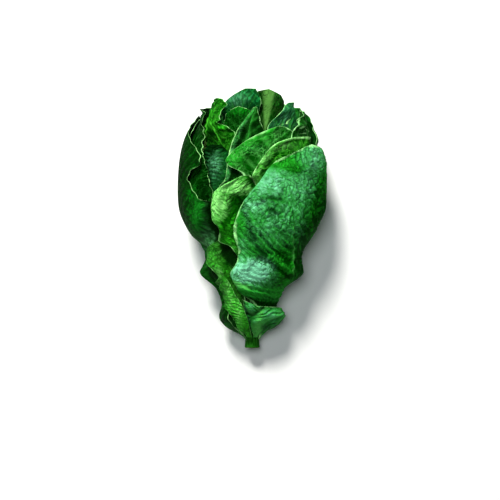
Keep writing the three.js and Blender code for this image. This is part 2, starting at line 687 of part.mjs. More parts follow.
// The heart: young leaves folded tight into one bud, which fills the room the other leaves leave.
function makeHeart() {
  const [base, tip] = [HEART_RADIUS[0][0], HEART_RADIUS.at(-1)[0]];
  const rows = 16;
  const heights = [...Array(rows + 1).keys()].map((n) => {
    const share = mix(n / rows, smooth(0, 1, n / rows), 0.6);
    return mix(base, tip, share);
  });
  return roundBody(heights, HEART_SIDES, (turn, height) => {
    // Folded margins run up the bud and wind a little round it.
    const winding = turn * 3 + height / 14;
    const fold = 1 + 0.07 * Math.sin(winding + 0.6 * Math.sin(winding));
    const wanted = insetAt(turn, height, through(HEART_RADIUS, height) * fold);
    const inset = softMax(wanted, limitAt(turn, height) + CLEARANCE + 0.4, 1);
    return place(turn, height, inset);
  });
}

// ---- Assembly ----
const head = new THREE.Group();
function add(name, geometry, colour) {
  const material = new THREE.MeshStandardMaterial({ color: colour, roughness: 0.45, metalness: 0 });
  const mesh = new THREE.Mesh(geometry, material);
  mesh.name = name;
  head.add(mesh);
}

add('stem', makeStem(), '#cfd8a4');
for (const [name, spec] of Object.entries(LEAVES)) {
  const leaf = { ...leafDefaults, ...spec };
  add(name, makeLeaf(leaf), leaf.colour);
}
add('heart', makeHeart(), LIME);

// The origin is at the middle of the head's foot print.
const bounds = new THREE.Box3().setFromObject(head);
const centre = bounds.getCenter(new THREE.Vector3());
head.position.set(-centre.x, -centre.y, -bounds.min.z);

export default head;
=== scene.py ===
import math

import bpy
import numpy as np
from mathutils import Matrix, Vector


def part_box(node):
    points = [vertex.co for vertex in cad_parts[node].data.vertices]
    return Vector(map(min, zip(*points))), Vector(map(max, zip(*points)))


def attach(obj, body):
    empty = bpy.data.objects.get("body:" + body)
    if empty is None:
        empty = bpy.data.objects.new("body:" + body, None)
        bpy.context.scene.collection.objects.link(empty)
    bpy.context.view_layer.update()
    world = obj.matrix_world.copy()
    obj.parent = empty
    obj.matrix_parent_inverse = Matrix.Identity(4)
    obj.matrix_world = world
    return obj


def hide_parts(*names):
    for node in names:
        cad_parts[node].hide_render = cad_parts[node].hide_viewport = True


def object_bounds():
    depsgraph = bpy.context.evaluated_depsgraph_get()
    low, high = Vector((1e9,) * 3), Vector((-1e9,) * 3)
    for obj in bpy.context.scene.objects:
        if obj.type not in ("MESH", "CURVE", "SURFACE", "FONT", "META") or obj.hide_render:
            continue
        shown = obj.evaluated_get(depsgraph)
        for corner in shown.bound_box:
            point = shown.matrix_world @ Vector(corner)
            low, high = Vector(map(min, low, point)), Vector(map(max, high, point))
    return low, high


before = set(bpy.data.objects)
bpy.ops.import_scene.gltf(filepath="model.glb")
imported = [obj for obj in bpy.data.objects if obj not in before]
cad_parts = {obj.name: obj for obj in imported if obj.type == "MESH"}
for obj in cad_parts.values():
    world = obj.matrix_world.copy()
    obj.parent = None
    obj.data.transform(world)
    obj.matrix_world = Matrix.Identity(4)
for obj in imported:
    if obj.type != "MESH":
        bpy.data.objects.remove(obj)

cad_low, cad_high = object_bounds()

# ---- Studio ----
# A plain pale floor, a soft key light from beyond the tips on the left, a wide weak light over the head, and
# a camera that looks straight down on the head, which lies on its side.
MM = 0.001
VIEW_WIDTH = 300  # width seen at the head, mm
VIEW_MIDDLE = (-1.2, -18.8, 36)
LENS = 120
SENSOR = 36
LIGHTS_AIM = (0, 0, 0.03)
FLOOR_HALF = 3


def put_in_scene(name, data):
    thing = bpy.data.objects.new(name, data)
    bpy.context.scene.collection.objects.link(thing)
    return thing


def new_material(name):
    material = bpy.data.materials.new(name)
    material.use_nodes = True
    return material, material.node_tree, material.node_tree.nodes["Principled BSDF"]


def studio_light(name, location, size, watts, colour):
    data = bpy.data.lights.new(name, "AREA")
    data.shape = "DISK"
    data.size = size
    data.energy = watts
    data.color = colour
    light = put_in_scene(name, data)
    light.location = location
    x, y, z = np.array(location) - np.array(LIGHTS_AIM)
    light.rotation_euler = (math.atan2(math.hypot(x, y), z), 0, math.atan2(x, -y))


studio_light("key_light", (-0.2, 0.66, 0.8), 0.3, 18, (1, 0.99, 0.96))
studio_light("sky_light", (-0.1, 0.15, 1.3), 0.5, 6, (0.9, 0.97, 1))

world = bpy.data.worlds.new("studio_air")
world.use_nodes = True
world.node_tree.nodes["Background"].inputs["Color"].default_value = (0.9, 0.95, 1, 1)
world.node_tree.nodes["Background"].inputs["Strength"].default_value = 0.04
bpy.context.scene.world = world
bpy.context.scene.view_settings.view_transform = "Standard"

camera_data = bpy.data.cameras.new("camera")
camera_data.lens = LENS
camera_data.sensor_width = SENSOR
camera = put_in_scene("camera", camera_data)
camera.location = (
    VIEW_MIDDLE[0] * MM,
    VIEW_MIDDLE[1] * MM,
    (VIEW_MIDDLE[2] + VIEW_WIDTH * LENS / SENSOR) * MM,
)
bpy.context.scene.camera = camera

floor_mesh = bpy.data.meshes.new("floor")
floor_corners = [(x * FLOOR_HALF, y * FLOOR_HALF, 0) for x, y in [(-1, -1), (1, -1), (1, 1), (-1, 1)]]
floor_mesh.from_pydata(floor_corners, [], [(0, 1, 2, 3)])
floor = put_in_scene("floor", floor_mesh)
floor_white, _, floor_shader = new_material("floor_white")
floor_shader.inputs["Base Color"].default_value = (0.92, 0.915, 0.9, 1)
floor_shader.inputs["Roughness"].default_value = 0.9
floor_mesh.materials.append(floor_white)

# ---- Stem ----
# The core that every leaf grows from: one piece of firm, moist flesh in a green skin with fine strings along
# it, tapering to its tip. It is cut straight across at the foot, and the pale cut browns at its rim.

# The head's half depth by height above the cut, and how far its middle line is lifted, all in mm.
HALF_DEPTH = [
    (0, 4.6), (5, 5.6), (9, 8.2), (13, 11.6), (20, 16), (30, 20.5), (40, 24), (52, 28), (64, 31.5),
    (76, 34.5), (90, 36.5), (105, 37), (120, 36), (130, 34), (140, 31), (150, 28), (158, 25),
]
LIFT = [(0, 7), (20, 2.8), (45, 0.3), (60, -1.2), (110, -1.2), (130, 1.2), (158, 6)]
STEM_RADIUS = [(0, 4.7), (7, 4.3), (14, 4.8), (22, 4.6), (36, 3.4), (42, 2.4)]
STEM_LENGTH = 42
STEM_SIDES = 72
STEM_FLAT = math.cos(math.pi / 18)  # how far out the flats of the solid stem lie, as a share of its radius
CUT_RINGS = (0.12, 0.25, 0.4, 0.55, 0.7, 0.82, 0.91, 0.97)
ON_SKIN = 2  # the "cut" mark of the skin; on the cut it goes from 0 in the middle to 1
SOFT_GLOSS_IOR = 1.05  # hardly any mirror shine
STRINGS_DEPTH = 0.0003


def through(stations, x):
    """A smooth curve through (x, value) stations."""
    xs, values = np.array(stations, float).T
    last = len(xs) - 1
    before = np.maximum(np.arange(last + 1) - 1, 0)
    after = np.minimum(np.arange(last + 1) + 1, last)
    slopes = (values[after] - values[before]) / (xs[after] - xs[before])
    at = np.clip(x, xs[0], xs[-1])
    i = np.clip(np.searchsorted(xs, at, side="right") - 1, 0, last - 1)
    h = xs[i + 1] - xs[i]
    t = (at - xs[i]) / h
    u = 1 - t
    start = values[i] * (1 + 2 * t) * u * u + h * slopes[i] * t * u * u
    end = values[i + 1] * t * t * (3 - 2 * t) - h * slopes[i + 1] * t * t * u
    return start + end


def half_depth(height):
    return through(HALF_DEPTH, height)


def middle(height):
    return half_depth(height) + through(LIFT, height)


# The head is centred on its footprint, and the stem's foot is at its lowest Y.
stem_low, stem_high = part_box("stem")
HEAD_SHIFT = np.array([(stem_low[0] + stem_high[0]) / 2, stem_low[1], 0]) / MM


def make_piece(name, corners, faces, uvs, marks):
    """A smooth closed mesh from corners in mm. marks: name -> a value or a vector for each corner."""
    mesh = bpy.data.meshes.new(name)
    sizes = np.array([len(face) for face in faces])
    loops = np.concatenate(faces)
    mesh.vertices.add(len(corners))
    mesh.vertices.foreach_set("co", ((corners + HEAD_SHIFT) * MM).astype(np.float32).ravel())
    mesh.loops.add(len(loops))
    mesh.loops.foreach_set("vertex_index", loops.astype(np.int32))
    mesh.polygons.add(len(sizes))
    mesh.polygons.foreach_set("loop_start", (np.cumsum(sizes) - sizes).astype(np.int32))
    mesh.update(calc_edges=True)
    mesh.polygons.foreach_set("use_smooth", np.ones(len(sizes), bool))
    bake_places = mesh.uv_layers.new(name="OFBake").data
    bake_places.foreach_set("uv", np.concatenate(uvs).astype(np.float32).ravel())
    for mark_name, values in marks.items():
        kind, field = ("FLOAT_VECTOR", "vector") if values.ndim == 2 else ("FLOAT", "value")
        layer = mesh.attributes.new(mark_name, kind, "POINT")
        layer.data.foreach_set(field, values.astype(np.float32).ravel())
    return put_in_scene(name, mesh)


def round_faces(rings, sides):
    """Faces and bake places of a round body: rings joined by faces, and a fan closing either end."""
    faces, uvs = [], []
    last = rings - 1
    for r in range(last):
        low, high = 0.1 + 0.8 * r / last, 0.1 + 0.8 * (r + 1) / last
        for n in range(sides):
            m = (n + 1) % sides
            left, right = n / sides, (n + 1) / sides
            faces.append((r * sides + n, (r + 1) * sides + n, (r + 1) * sides + m, r * sides + m))
            uvs.append([(left, low), (left, high), (right, high), (right, low)])
    foot, top = rings * sides, rings * sides + 1
    for n in range(sides):
        m = (n + 1) % sides
        left, right, centre = n / sides, (n + 1) / sides, (n + 0.5) / sides
        faces.append((foot, n, m))
        uvs.append([(centre, 0.02), (left, 0.1), (right, 0.1)])
        faces.append((top, last * sides + m, last * sides + n))
        uvs.append([(centre, 0.98), (right, 0.9), (left, 0.9)])
    return faces, uvs


def make_stem():
    cut = [(0.0, share) for share in CUT_RINGS]
    side = [(height, 1.0) for height in np.linspace(0.25, STEM_LENGTH - 0.5, 64)]
    rings = cut + side + [(STEM_LENGTH, 0.75), (STEM_LENGTH, 0.3)]
    turn = np.arange(STEM_SIDES) * 2 * math.pi / STEM_SIDES
    corners, shares = [], []
    for height, share in rings:
        strings = 0.1 * np.abs(np.sin(5 * turn + 0.05 * height)) + 0.06 * np.abs(np.sin(13 * turn + 1))
        radius = (through(STEM_RADIUS, height) * STEM_FLAT - strings) * share
        level = middle(height) + radius * np.sin(turn)
        corners.append(np.stack([radius * np.cos(turn), 0 * turn + height, level], -1))
        shares.append(0 * turn + (share if height == 0 else ON_SKIN))
    foot = np.array([[0, 0, middle(0.0)]])
    top = np.array([[0, STEM_LENGTH, middle(float(STEM_LENGTH))]])
    corners = np.concatenate(corners + [foot, top])
    shares = np.concatenate(shares + [[0, ON_SKIN]])
    faces, uvs = round_faces(len(rings), STEM_SIDES)
    return make_piece("stem_core", corners, faces, uvs, {"plan": corners, "cut": shares})


def feed(tree, socket, value):
    """Links a socket's output to an input, or sets the input to a plain value."""
    if isinstance(value, bpy.types.NodeSocket):
        tree.links.new(value, socket)
    else:
        socket.default_value = value


def maths(tree, operation, *values):
    node = tree.nodes.new("ShaderNodeMath")
    node.operation = operation
    for socket, value in zip(node.inputs, values):
        feed(tree, socket, value)
    return node.outputs[0]


def times(tree, a, b):
    return maths(tree, "MULTIPLY", a, b)


def plus(tree, a, b):
    return maths(tree, "ADD", a, b)


def span(tree, value, low, high, to_low=0.0, to_high=1.0):
    """Takes a value smoothly from one span to another, and no further."""
    node = tree.nodes.new("ShaderNodeMapRange")
    node.interpolation_type = "SMOOTHSTEP"
    feed(tree, node.inputs["Value"], value)
    feed(tree, node.inputs["From Min"], low)
    feed(tree, node.inputs["From Max"], high)
    feed(tree, node.inputs["To Min"], to_low)
    feed(tree, node.inputs["To Max"], to_high)
    return node.outputs["Result"]


def tinted(tree, share, a, b):
    """Goes from colour a to colour b. A mix node keeps its colours after its numbers and vectors."""
    node = tree.nodes.new("ShaderNodeMix")
    node.data_type = "RGBA"
    feed(tree, node.inputs[0], share)
    feed(tree, node.inputs[6], a)
    feed(tree, node.inputs[7], b)
    return node.outputs[2]


def noise(tree, where, scale, detail=2.0, roughness=0.5):
    node = tree.nodes.new("ShaderNodeTexNoise")
    feed(tree, node.inputs["Vector"], where)
    feed(tree, node.inputs["Scale"], scale)
    feed(tree, node.inputs["Detail"], detail)
    feed(tree, node.inputs["Roughness"], roughness)
    return node.outputs["Fac"]


def mark(tree, name, kind="Fac"):
    node = tree.nodes.new("ShaderNodeAttribute")
    node.attribute_name = name
    return node.outputs[kind]


def bumped(tree, height, depth):
    node = tree.nodes.new("ShaderNodeBump")
    node.inputs["Distance"].default_value = depth
    feed(tree, node.inputs["Height"], height)
    return node.outputs["Normal"]


def make_stem_skin():
    material, tree, shader = new_material("stem_skin")
    plan = mark(tree, "plan", "Vector")
    cut = mark(tree, "cut")
    drawn_out = tree.nodes.new("ShaderNodeVectorMath")
    drawn_out.operation = "MULTIPLY"
    feed(tree, drawn_out.inputs[0], plan)
    drawn_out.inputs[1].default_value = (1, 0.12, 1)
    strings = noise(tree, drawn_out.outputs[0], 1.6, 3)
    mottled = noise(tree, plan, 0.35, 3)
    skin = tinted(tree, span(tree, strings, 0.35, 0.7), (0.003, 0.055, 0.001, 1), (0.02, 0.17, 0.01, 1))
    dark = times(tree, span(tree, mottled, 0.5, 0.75), 0.5)
    skin = tinted(tree, dark, skin, (0.004, 0.035, 0.002, 1))
    pith = tinted(tree, noise(tree, plan, 1.5, 4), (0.5, 0.56, 0.3, 1), (0.72, 0.72, 0.5, 1))
    ring = times(tree, span(tree, cut, 0.5, 0.62), span(tree, cut, 0.86, 0.7))
    pith = tinted(tree, times(tree, ring, 0.6), pith, (0.33, 0.42, 0.16, 1))
    rim = plus(tree, span(tree, cut, 0.72, 1.0), times(tree, mottled, 0.3))
    pith = tinted(tree, span(tree, rim, 0.45, 1.1), pith, (0.25, 0.12, 0.04, 1))
    feed(tree, shader.inputs["Base Color"], tinted(tree, span(tree, cut, 1.2, 1.6), pith, skin))
    feed(tree, shader.inputs["Roughness"], span(tree, strings, 0.3, 0.7, 0.45, 0.6))
    shader.inputs["IOR"].default_value = SOFT_GLOSS_IOR
    feed(tree, shader.inputs["Normal"], bumped(tree, strings, STRINGS_DEPTH))
    return material


stem = make_stem()
stem.data.materials.append(make_stem_skin())
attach(stem, "root")
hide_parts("stem")

# ---- Low leaves ----
# The two short leaves at the butt: thin, crisp, puckered blades, each grown in one piece with a pale midrib
# and a broad base that clasps the stem. The left one is a yellow-green trough, the right one is ruffled.

# The head's half width by height above the cut, all in mm. The ruffled lower margins widen it at two
# heights, given as height, spread and amount.
HALF_WIDTH = [
    (0, 4.6), (5, 5.6), (9, 8.8), (13, 13), (20, 14.2), (30, 17.8), (40, 21.2), (52, 27), (62, 31),
    (72, 37.6), (82, 42.3), (92, 43.8), (108, 43.8), (120, 42.5), (130, 39.7), (140, 34.3), (150, 31),
    (158, 29.5),
]
SIDE_WAVES = [(19, 6, 4.9), (45.5, 7, 6.8)]
MEAN_HALF = 40  # half width against which a layer gets smaller with its depth
BLADE = 0.9  # thickness that a leaf is given room for
SHOWN_BLADE = 0.5  # thickness of the blade itself
BASE_THICKER = 0.5  # added to the outer half of the blade where it clasps the stem
BASE_HALF = 20  # half the turn that a leaf's base clasps, degrees
BASE_HELD = 5  # height over which the base comes away from the stem
STEM_TOUCH = 0.1  # gap between the stem and a leaf's base, right at the foot of the base
STEM_GAP = 0.35  # and above that
CLEARANCE = 1.1  # between one leaf and the next
SETTLE = 0.8  # how softly a leaf settles against the one outside it
PRESSED_IN = (0.6, 3)  # how far it is pushed in where its painted shade starts, and where that shade is full
SHADED = 0.6  # how much painted shade darkens a leaf where another one covers it
RIB_OUTSIDE = 0.7  # share of the midrib's height on the outer face
RIB_INSIDE = 0.3
RIB_TIP = 0.8  # the midrib's half width at the leaf's tip
RIB_SPREAD = 1.25  # its flanks run out softly over a little more than its half width
RUFFLED = (0.12, 0.4)  # share of its length where the margin starts to ruffle, and is in full ruffle
FOLD_START = 0.06  # share of the length over which a fold opens and closes
FOLD_END = 0.04
DIP_AT = 1.4  # the dip behind a roll: how far in and how wide, as shares of the roll's width
DIP_HALF = 0.4
RIM = 0.9  # how far in from the margin the blade's edge is rounded
DEEPEST = 1.3  # how far a crease may push the blade in, so that it stays clear of the leaf inside it
CURL_HALF = 0.8  # half width of a curled margin's pale line
FAR = 1e9


def mix(a, b, share):
    return a + (b - a) * share


def smooth(low, high, x):
    share = np.clip((x - low) / (high - low), 0, 1)
    return share * share * (3 - 2 * share)


def soft_max(a, b, blend):
    return (a + b + np.hypot(a - b, blend)) / 2


def spot(dx, dy, wide, high):
    """1 at a place, falling softly to 0 with the distance from it."""
    return np.exp(-((dx / wide) ** 2) - (dy / high) ** 2)


def half_width(height):
    waves = sum(amount * np.exp(-(((height - at) / spread) ** 2)) for at, spread, amount in SIDE_WAVES)
    return through(HALF_WIDTH, height) + waves


def mean_radius(height):
    return (half_width(height) + half_depth(height)) / 2


def place(turn, height, inset):
    """The point at a turn round the head's middle line, a height above the cut and a depth below the skin."""
    x = (half_width(height) - inset) * np.cos(turn)
    z = middle(height) + (half_depth(height) - inset) * np.sin(turn)
    return np.stack([x, height, z], -1)


def turn_seen(x, height, depth):
    """The turn of a point seen from above at x and at a depth below the skin, going on round the edge."""
    share = 1 - depth / MEAN_HALF
    edge = half_width(height) * share
    if abs(x) <= edge:
        return math.acos(x / edge)
    past = (abs(x) - edge) / (half_depth(height) * share)
    return -past if x > 0 else math.pi + past


def inset_at(turn, height, radius):
    """The depth below the skin of a point at a radius round the middle line."""
    c = np.cos(turn) ** 2
    w, d = half_width(height), half_depth(height)
    return w * c + d * (1 - c) - np.sqrt(np.maximum(0, radius**2 - c * (1 - c) * (w - d) ** 2))


def table_inset(turn, height):
    """How deep a point has to lie to stay above the table."""
    down = -np.sin(turn)
    return np.where(down > 0.2, half_depth(height) - middle(height) / np.maximum(down, 0.2), -FAR)


# The room taken so far, as depths below the skin on a grid of turns and heights, and how deep the next leaf
# has to lie because of it.
TURNS = 120
HEIGHTS = 81
HEIGHT_STEP = 2
NOTHING = -12.0
filled = np.full((TURNS, HEIGHTS), NOTHING)
limit = filled.copy()


def limit_at(turn, height):
    a = np.mod(turn / (2 * math.pi) * TURNS, TURNS)
    h = np.clip(height / HEIGHT_STEP, 0, HEIGHTS - 1.001)
    i, j = np.floor(a).astype(int), np.floor(h).astype(int)
    low = mix(limit[i % TURNS, j], limit[(i + 1) % TURNS, j], a - i)
    high = mix(limit[i % TURNS, j + 1], limit[(i + 1) % TURNS, j + 1], a - i)
    return mix(low, high, h - j)


def filtered(grid, low, high, average):
    """Takes each cell's highest or mean neighbour, some cells either way in turn and then in height: low at
    the head's foot and high further up."""
    heights = np.arange(HEIGHTS)
    for k in (0, 1):
        reach = np.floor(mix(low[k], high[k], smooth(20, 60, heights * HEIGHT_STEP)) + 0.5)
        total, count, most = np.zeros_like(grid), np.zeros(HEIGHTS), np.full_like(grid, -FAR)
        for step in range(-int(reach.max()), int(reach.max()) + 1):
            near = np.roll(grid, -step, 0) if k == 0 else grid[:, np.clip(heights + step, 0, HEIGHTS - 1)]
            used = np.abs(step) <= reach
            total += np.where(used, near, 0)
            count += used
            most = np.where(used, np.maximum(most, near), most)
        grid = total / count if average else most
    return grid


def seen(turn, base, depth, left, spine, right):
    """Outline rows from three lines as seen from above, each point as x from the middle line and y above the
    cut. The base row comes first, given by its turn in degrees and its height."""
    foot = [(math.radians(turn + side), base) for side in (BASE_HALF, 0, -BASE_HALF)]
    return [foot] + [[(turn_seen(x, y, depth), y) for x, y in row] for row in zip(left, spine, right)]


def outline_at(rows, s):
    """The left margin, spine and right margin at s along the leaf, each as turn and height."""
    points = np.array(rows, float)
    last = len(points) - 1
    on = s * last
    i = np.clip(np.floor(on).astype(int), 0, last)
    w = (on - i)[..., None, None]
    p0, p1 = points[np.maximum(i - 1, 0)], points[i]
    p2, p3 = points[np.minimum(i + 1, last)], points[np.minimum(i + 2, last)]
    v0, v1 = (p2 - p0) / 2, (p3 - p1) / 2
    return (2 * p1 - 2 * p2 + v0 + v1) * w**3 + (-3 * p1 + 3 * p2 - 2 * v0 - v1) * w**2 + v0 * w + p1


def leaf_form(leaf, s, t):
    """Turn, height and depth of the blade's middle at s along the leaf and t across, -1 left to 1 right,
    with the blade's two half thicknesses and its flat plan: mm across and mm up from the base."""
    rows = leaf["rows"]
    foot_row = rows[0]
    base = foot_row[1][1]
    lines = outline_at(rows, s)
    spine = lines[..., 1, :]
    margin = np.where((t < 0)[..., None], lines[..., 0, :], lines[..., 2, :])
    share = np.abs(t)
    height = mix(spine[..., 1], margin[..., 1], share)
    radius = mean_radius(height)
    half = np.hypot((margin[..., 0] - spine[..., 0]) * radius, margin[..., 1] - spine[..., 1])
    across = share * half
    # The midrib tapers to the tip, and the base wraps the stem.
    rib_half = mix(leaf["rib"][0], RIB_TIP, s**0.7) * RIB_SPREAD
    rib_shape = np.exp(-((across / rib_half) ** 2))
    rib = leaf["rib"][1] * (1 - s) ** 0.8 * rib_shape
    near = 1 - smooth(0, leaf["clasp"], height - base)
    foot = mix(foot_row[1][0], np.where(t < 0, foot_row[0][0], foot_row[2][0]), share)
    turn = mix(mix(spine[..., 0], margin[..., 0], share), foot, near)
    outer = BLADE / 2 + BASE_THICKER * near + RIB_OUTSIDE * rib
    inner = BLADE / 2 + RIB_INSIDE * rib
    # Ruffled, folded and rolled margins, the crown of the blade and its broad bulges lift it from its layer.
    waves, count, phase = leaf["ruffle"]
    lift = waves * share**3 * smooth(*RUFFLED, s) * np.sin(2 * math.pi * count * s + phase * np.sign(t))
    roll, dip = 0 * lift, 0 * lift
    for side, start, end, up, width, rolled in leaf["folds"]:
        opened = smooth(start - FOLD_START, start + FOLD_START, s)
        reach = opened * (1 - smooth(end - FOLD_END, end + FOLD_END, s)) * (side * t > 0)
        inwards = (half - across) / width
        x = np.clip(inwards, 0, 1)
        shape = np.sin(math.pi * x**0.8) if rolled else (1 - x) ** 2
        lift = lift + up * reach * shape
        if rolled:
            roll = roll + reach * shape
            dip = dip + reach * np.exp(-(((inwards - DIP_AT) / DIP_HALF) ** 2))
    lift = lift - leaf["dip"] * dip
    lift = lift + leaf["puff"] * np.sin(math.pi * np.clip(s * 1.25 - 0.25, 0, 1)) * (1 - share**2)
    from_middle = (half_width(height) - 3) * np.cos(turn)
    for x, y, wide, high, up in leaf["bulges"]:
        lift = lift + up * spot(from_middle - x, height - y, wide, high)
    # The blade lies as deep as it wants to, or just inside what is already there, but round the stem.
    deep = through(leaf["inset"], s) - lift
    gap = mix(STEM_TOUCH, STEM_GAP + inner, smooth(0, BASE_HELD, height - base))
    clasp = inset_at(turn, height, through(STEM_RADIUS, height) + gap)
    nested = np.minimum(soft_max(deep, limit_at(turn, height) + CLEARANCE + outer, SETTLE), clasp)
    depth = np.maximum(mix(nested, clasp, near), table_inset(turn, height) + outer)
    flat_x = np.sign(t) * share * np.abs(margin[..., 0] - spine[..., 0]) * radius
    return {
        "turn": turn, "height": height, "depth": depth, "outer": outer, "inner": inner, "near": near,
        "rib": rib, "rib_shape": rib_shape, "flat": (flat_x, height - base), "half": half,
        "covered": smooth(*PRESSED_IN, nested - deep) * (1 - near), "roll": roll, "dip": dip,
    }


def station_at(leaf, share):
    """Where the rows of a leaf's mesh lie: a little closer at its base and at its tip."""
    rows = leaf["rows"]
    base, tip = rows[0][1][1], outline_at(rows, np.array([1.0]))[0, 1, 1]
    wanted = mix(base, tip, mix(share, smooth(0, 1, share), 0.65))
    low, high = np.zeros_like(share), np.ones_like(share)
    for _ in range(24):
        between = (low + high) / 2
        under = outline_at(rows, between)[:, 1, 1] < wanted
        low, high = np.where(under, between, low), np.where(under, high, between)
    return np.where(share == 0, 0, high)


# Cells of a soft noise and of the puckers are drawn once from a seeded table.
TABLE = 64
random_table = np.random.default_rng(7).random((TABLE, TABLE, 3))


def soft_noise(x, y, layer=0):
    def cell(a, b):
        return random_table[a % TABLE, b % TABLE, layer]

    i, j = np.floor(x).astype(int), np.floor(y).astype(int)
    u, v = smooth(0, 1, x - i), smooth(0, 1, y - j)
    return mix(mix(cell(i, j), cell(i + 1, j), u), mix(cell(i, j + 1), cell(i + 1, j + 1), u), v) * 2 - 1


def pucker_at(x, y):
    """Height of the puckers, 0 in the creases between them and up to 1 on top: uneven cells a unit apart."""
    i, j = np.floor(x).astype(int), np.floor(y).astype(int)
    first, second, own = np.full(x.shape, 9.0), np.full(x.shape, 9.0), np.zeros(x.shape)
    for a in (-1, 0, 1):
        for b in (-1, 0, 1):
            jitter = random_table[(i + a) % TABLE, (j + b) % TABLE]
            away = np.hypot(i + a + jitter[..., 0] - x, j + b + jitter[..., 1] - y)
            second = np.minimum(second, np.maximum(first, away))
            own = np.where(away < first, jitter[..., 2], own)
            first = np.minimum(first, away)
    return smooth(0, 0.5, second - first) * (1 - 0.35 * first**2) * (0.35 + 0.65 * own)


def line_away(points, line):
    """How far places lie from a straight line as seen from above, and how far along it they lie, 0 to 1."""
    (ax, ay), (bx, by) = line
    x, y = points[..., 0] - ax, points[..., 1] - ay
    dx, dy = bx - ax, by - ay
    along = np.clip((x * dx + y * dy) / (dx * dx + dy * dy), 0, 1)
    return np.hypot(x - along * dx, y - along * dy), along


def crease_at(points, line, wide):
    """1 along a line through places as seen from above, falling to 0 away from it."""
    nearest = np.min([line_away(points, part)[0] for part in zip(line, line[1:])], axis=0)
    return np.exp(-((nearest / wide) ** 2))


def line_share(points, line, wide):
    """How far across a straight band places lie, 1 at its edge: wide is its half width at either end."""
    away, along = line_away(points, line)
    return away / mix(wide[0], wide[1], along)


VEIN_HALF = 1.05  # half width of a side vein near the midrib
VEIN_BEND = 0.004  # how the side veins curve up towards the margin
FINE_CELL = (0.62, 0.5)  # the fine puckers' length and width, as shares of the coarse ones
FINE_SHARE = 0.32
MARGIN_CALM = 2.5  # distance from the margin, and from the base, over which the relief grows
BASE_CALM = (4, 16)
FRILL_REACH = 3.2  # how far in from the margin the frill goes


def leaf_relief(leaf, form, edge, points):
    """Height of the blade's relief in mm, with its veins, puckers and wrinkles as shares for the colours, and
    a plan of the blade for the finer ones."""
    x, y = form["flat"]
    draw = leaf["draw"]
    x_warped = x + 1.6 * soft_noise(x / 11 + draw, y / 13)
    y_warped = y + 2.4 * soft_noise(x / 13, y / 12 + draw, 1)
    # The side veins rise from the midrib to both margins, or all one way across a blade that shows one side.
    out = -x_warped if leaf["one_way"] else np.abs(x_warped)
    rise, spacing = leaf["veins"]
    side = (x < 0) * (1 - leaf["one_way"])
    phase = (y_warped - rise * out - VEIN_BEND * out**2) / spacing + 0.5 * side
    slope = math.hypot(1, rise)
    off = np.abs(phase - np.round(phase)) * spacing / slope
    thinning = 1 - 0.55 * smooth(0, 30, out)
    vein = np.exp(-((off / (VEIN_HALF * thinning)) ** 2))
    vein = vein * smooth(0, 3, edge) * (1 - 0.5 * smooth(0, 40, out))
    # The puckers are drawn out along the veins.
    along = (out + rise * y_warped) / slope + 31.7 * side
    up = (y_warped - rise * out) / slope
    plan = np.stack([0.6 * along, up, 0 * up + draw], -1)
    cell = leaf["cell"]
    along = along + 1.1 * soft_noise(x / 3.7, y / 3.1 + draw, 2)
    up = up + 0.9 * soft_noise(x / 3.3 + draw, y / 3.9, 0)
    pucker = pucker_at(along / (cell * leaf["stretch"]) + draw, up / cell)
    fine = pucker_at(along / (cell * FINE_CELL[0]) + draw, up / (cell * FINE_CELL[1]) + 9)
    pucker = (1 - FINE_SHARE) * pucker + FINE_SHARE * fine
    for at_x, at_y, wide, high, flat in leaf["calm"]:
        pucker = mix(pucker, 0.5, flat * spot(points[..., 0] - at_x, points[..., 1] - at_y, wide, high))
    patchy = 0.55 + 0.65 * soft_noise(x / 17 + draw, y / 15)
    broad = soft_noise(x / 9 + 5, y / 9 + draw, 2)
    flat_rib = (1 - leaf["one_way"]) * np.exp(-((x / (leaf["rib"][0] * 1.6)) ** 2))
    strength = (1 - form["near"]) * (1 - flat_rib) * smooth(-0.5, MARGIN_CALM, edge) * smooth(*BASE_CALM, y)
    relief = 1.35 * leaf["pucker"] * (pucker - 0.4) * strength * np.clip(patchy, 0.15, 1.2)
    relief -= leaf["sunk"] * vein * strength
    relief += leaf["pillow"] * (np.sin(math.pi * np.minimum(off / spacing * slope, 0.5)) - 0.6) * strength
    relief += leaf["swell"] * broad * strength
    # The margin is frilled.
    frill_high, frill_long = leaf["frill"]
    frill = np.exp(-edge / FRILL_REACH) * smooth(6, 20, y)
    frill_phase = y / frill_long + 0.35 * soft_noise(y / 9, x / 30 + draw) + 0.3 * (x < 0)
    uneven = 0.8 + 0.9 * soft_noise(y / 6 + draw, x / 40 + 3, 2)
    relief += frill_high * uneven * frill * np.sin(2 * math.pi * frill_phase)
    # Cross wrinkles draw the puckers flat where they run, and show as streaks: painted light and sheen on
    # their crests, painted shade in their troughs.
    streak = 0 * relief
    for at_x, at_y, wide, high, rise, length, slant in leaf["wrinkles"]:
        dx, dy = points[..., 0] - at_x, points[..., 1] - at_y
        reach = spot(dx, dy, wide, high)
        waves = np.sin(2 * math.pi * ((dy + slant * dx) / length + 0.55 * soft_noise(dx / 5 + 3, dy / 3)))
        waves = waves * (0.75 + 0.5 * soft_noise(dx / 2.5, dy / 2 + 7, 1))
        relief = relief * (1 - 0.8 * reach) + rise * reach * waves
        streak = streak + reach * waves
    for line, wide, deep, _ in leaf["creases"]:
        relief -= deep * crease_at(points, line, wide)
    relief = soft_max(relief, -DEEPEST, 0.4)
    return relief, vein * (1 - form["near"]), np.clip(1.5 * pucker, 0, 1), streak, plan


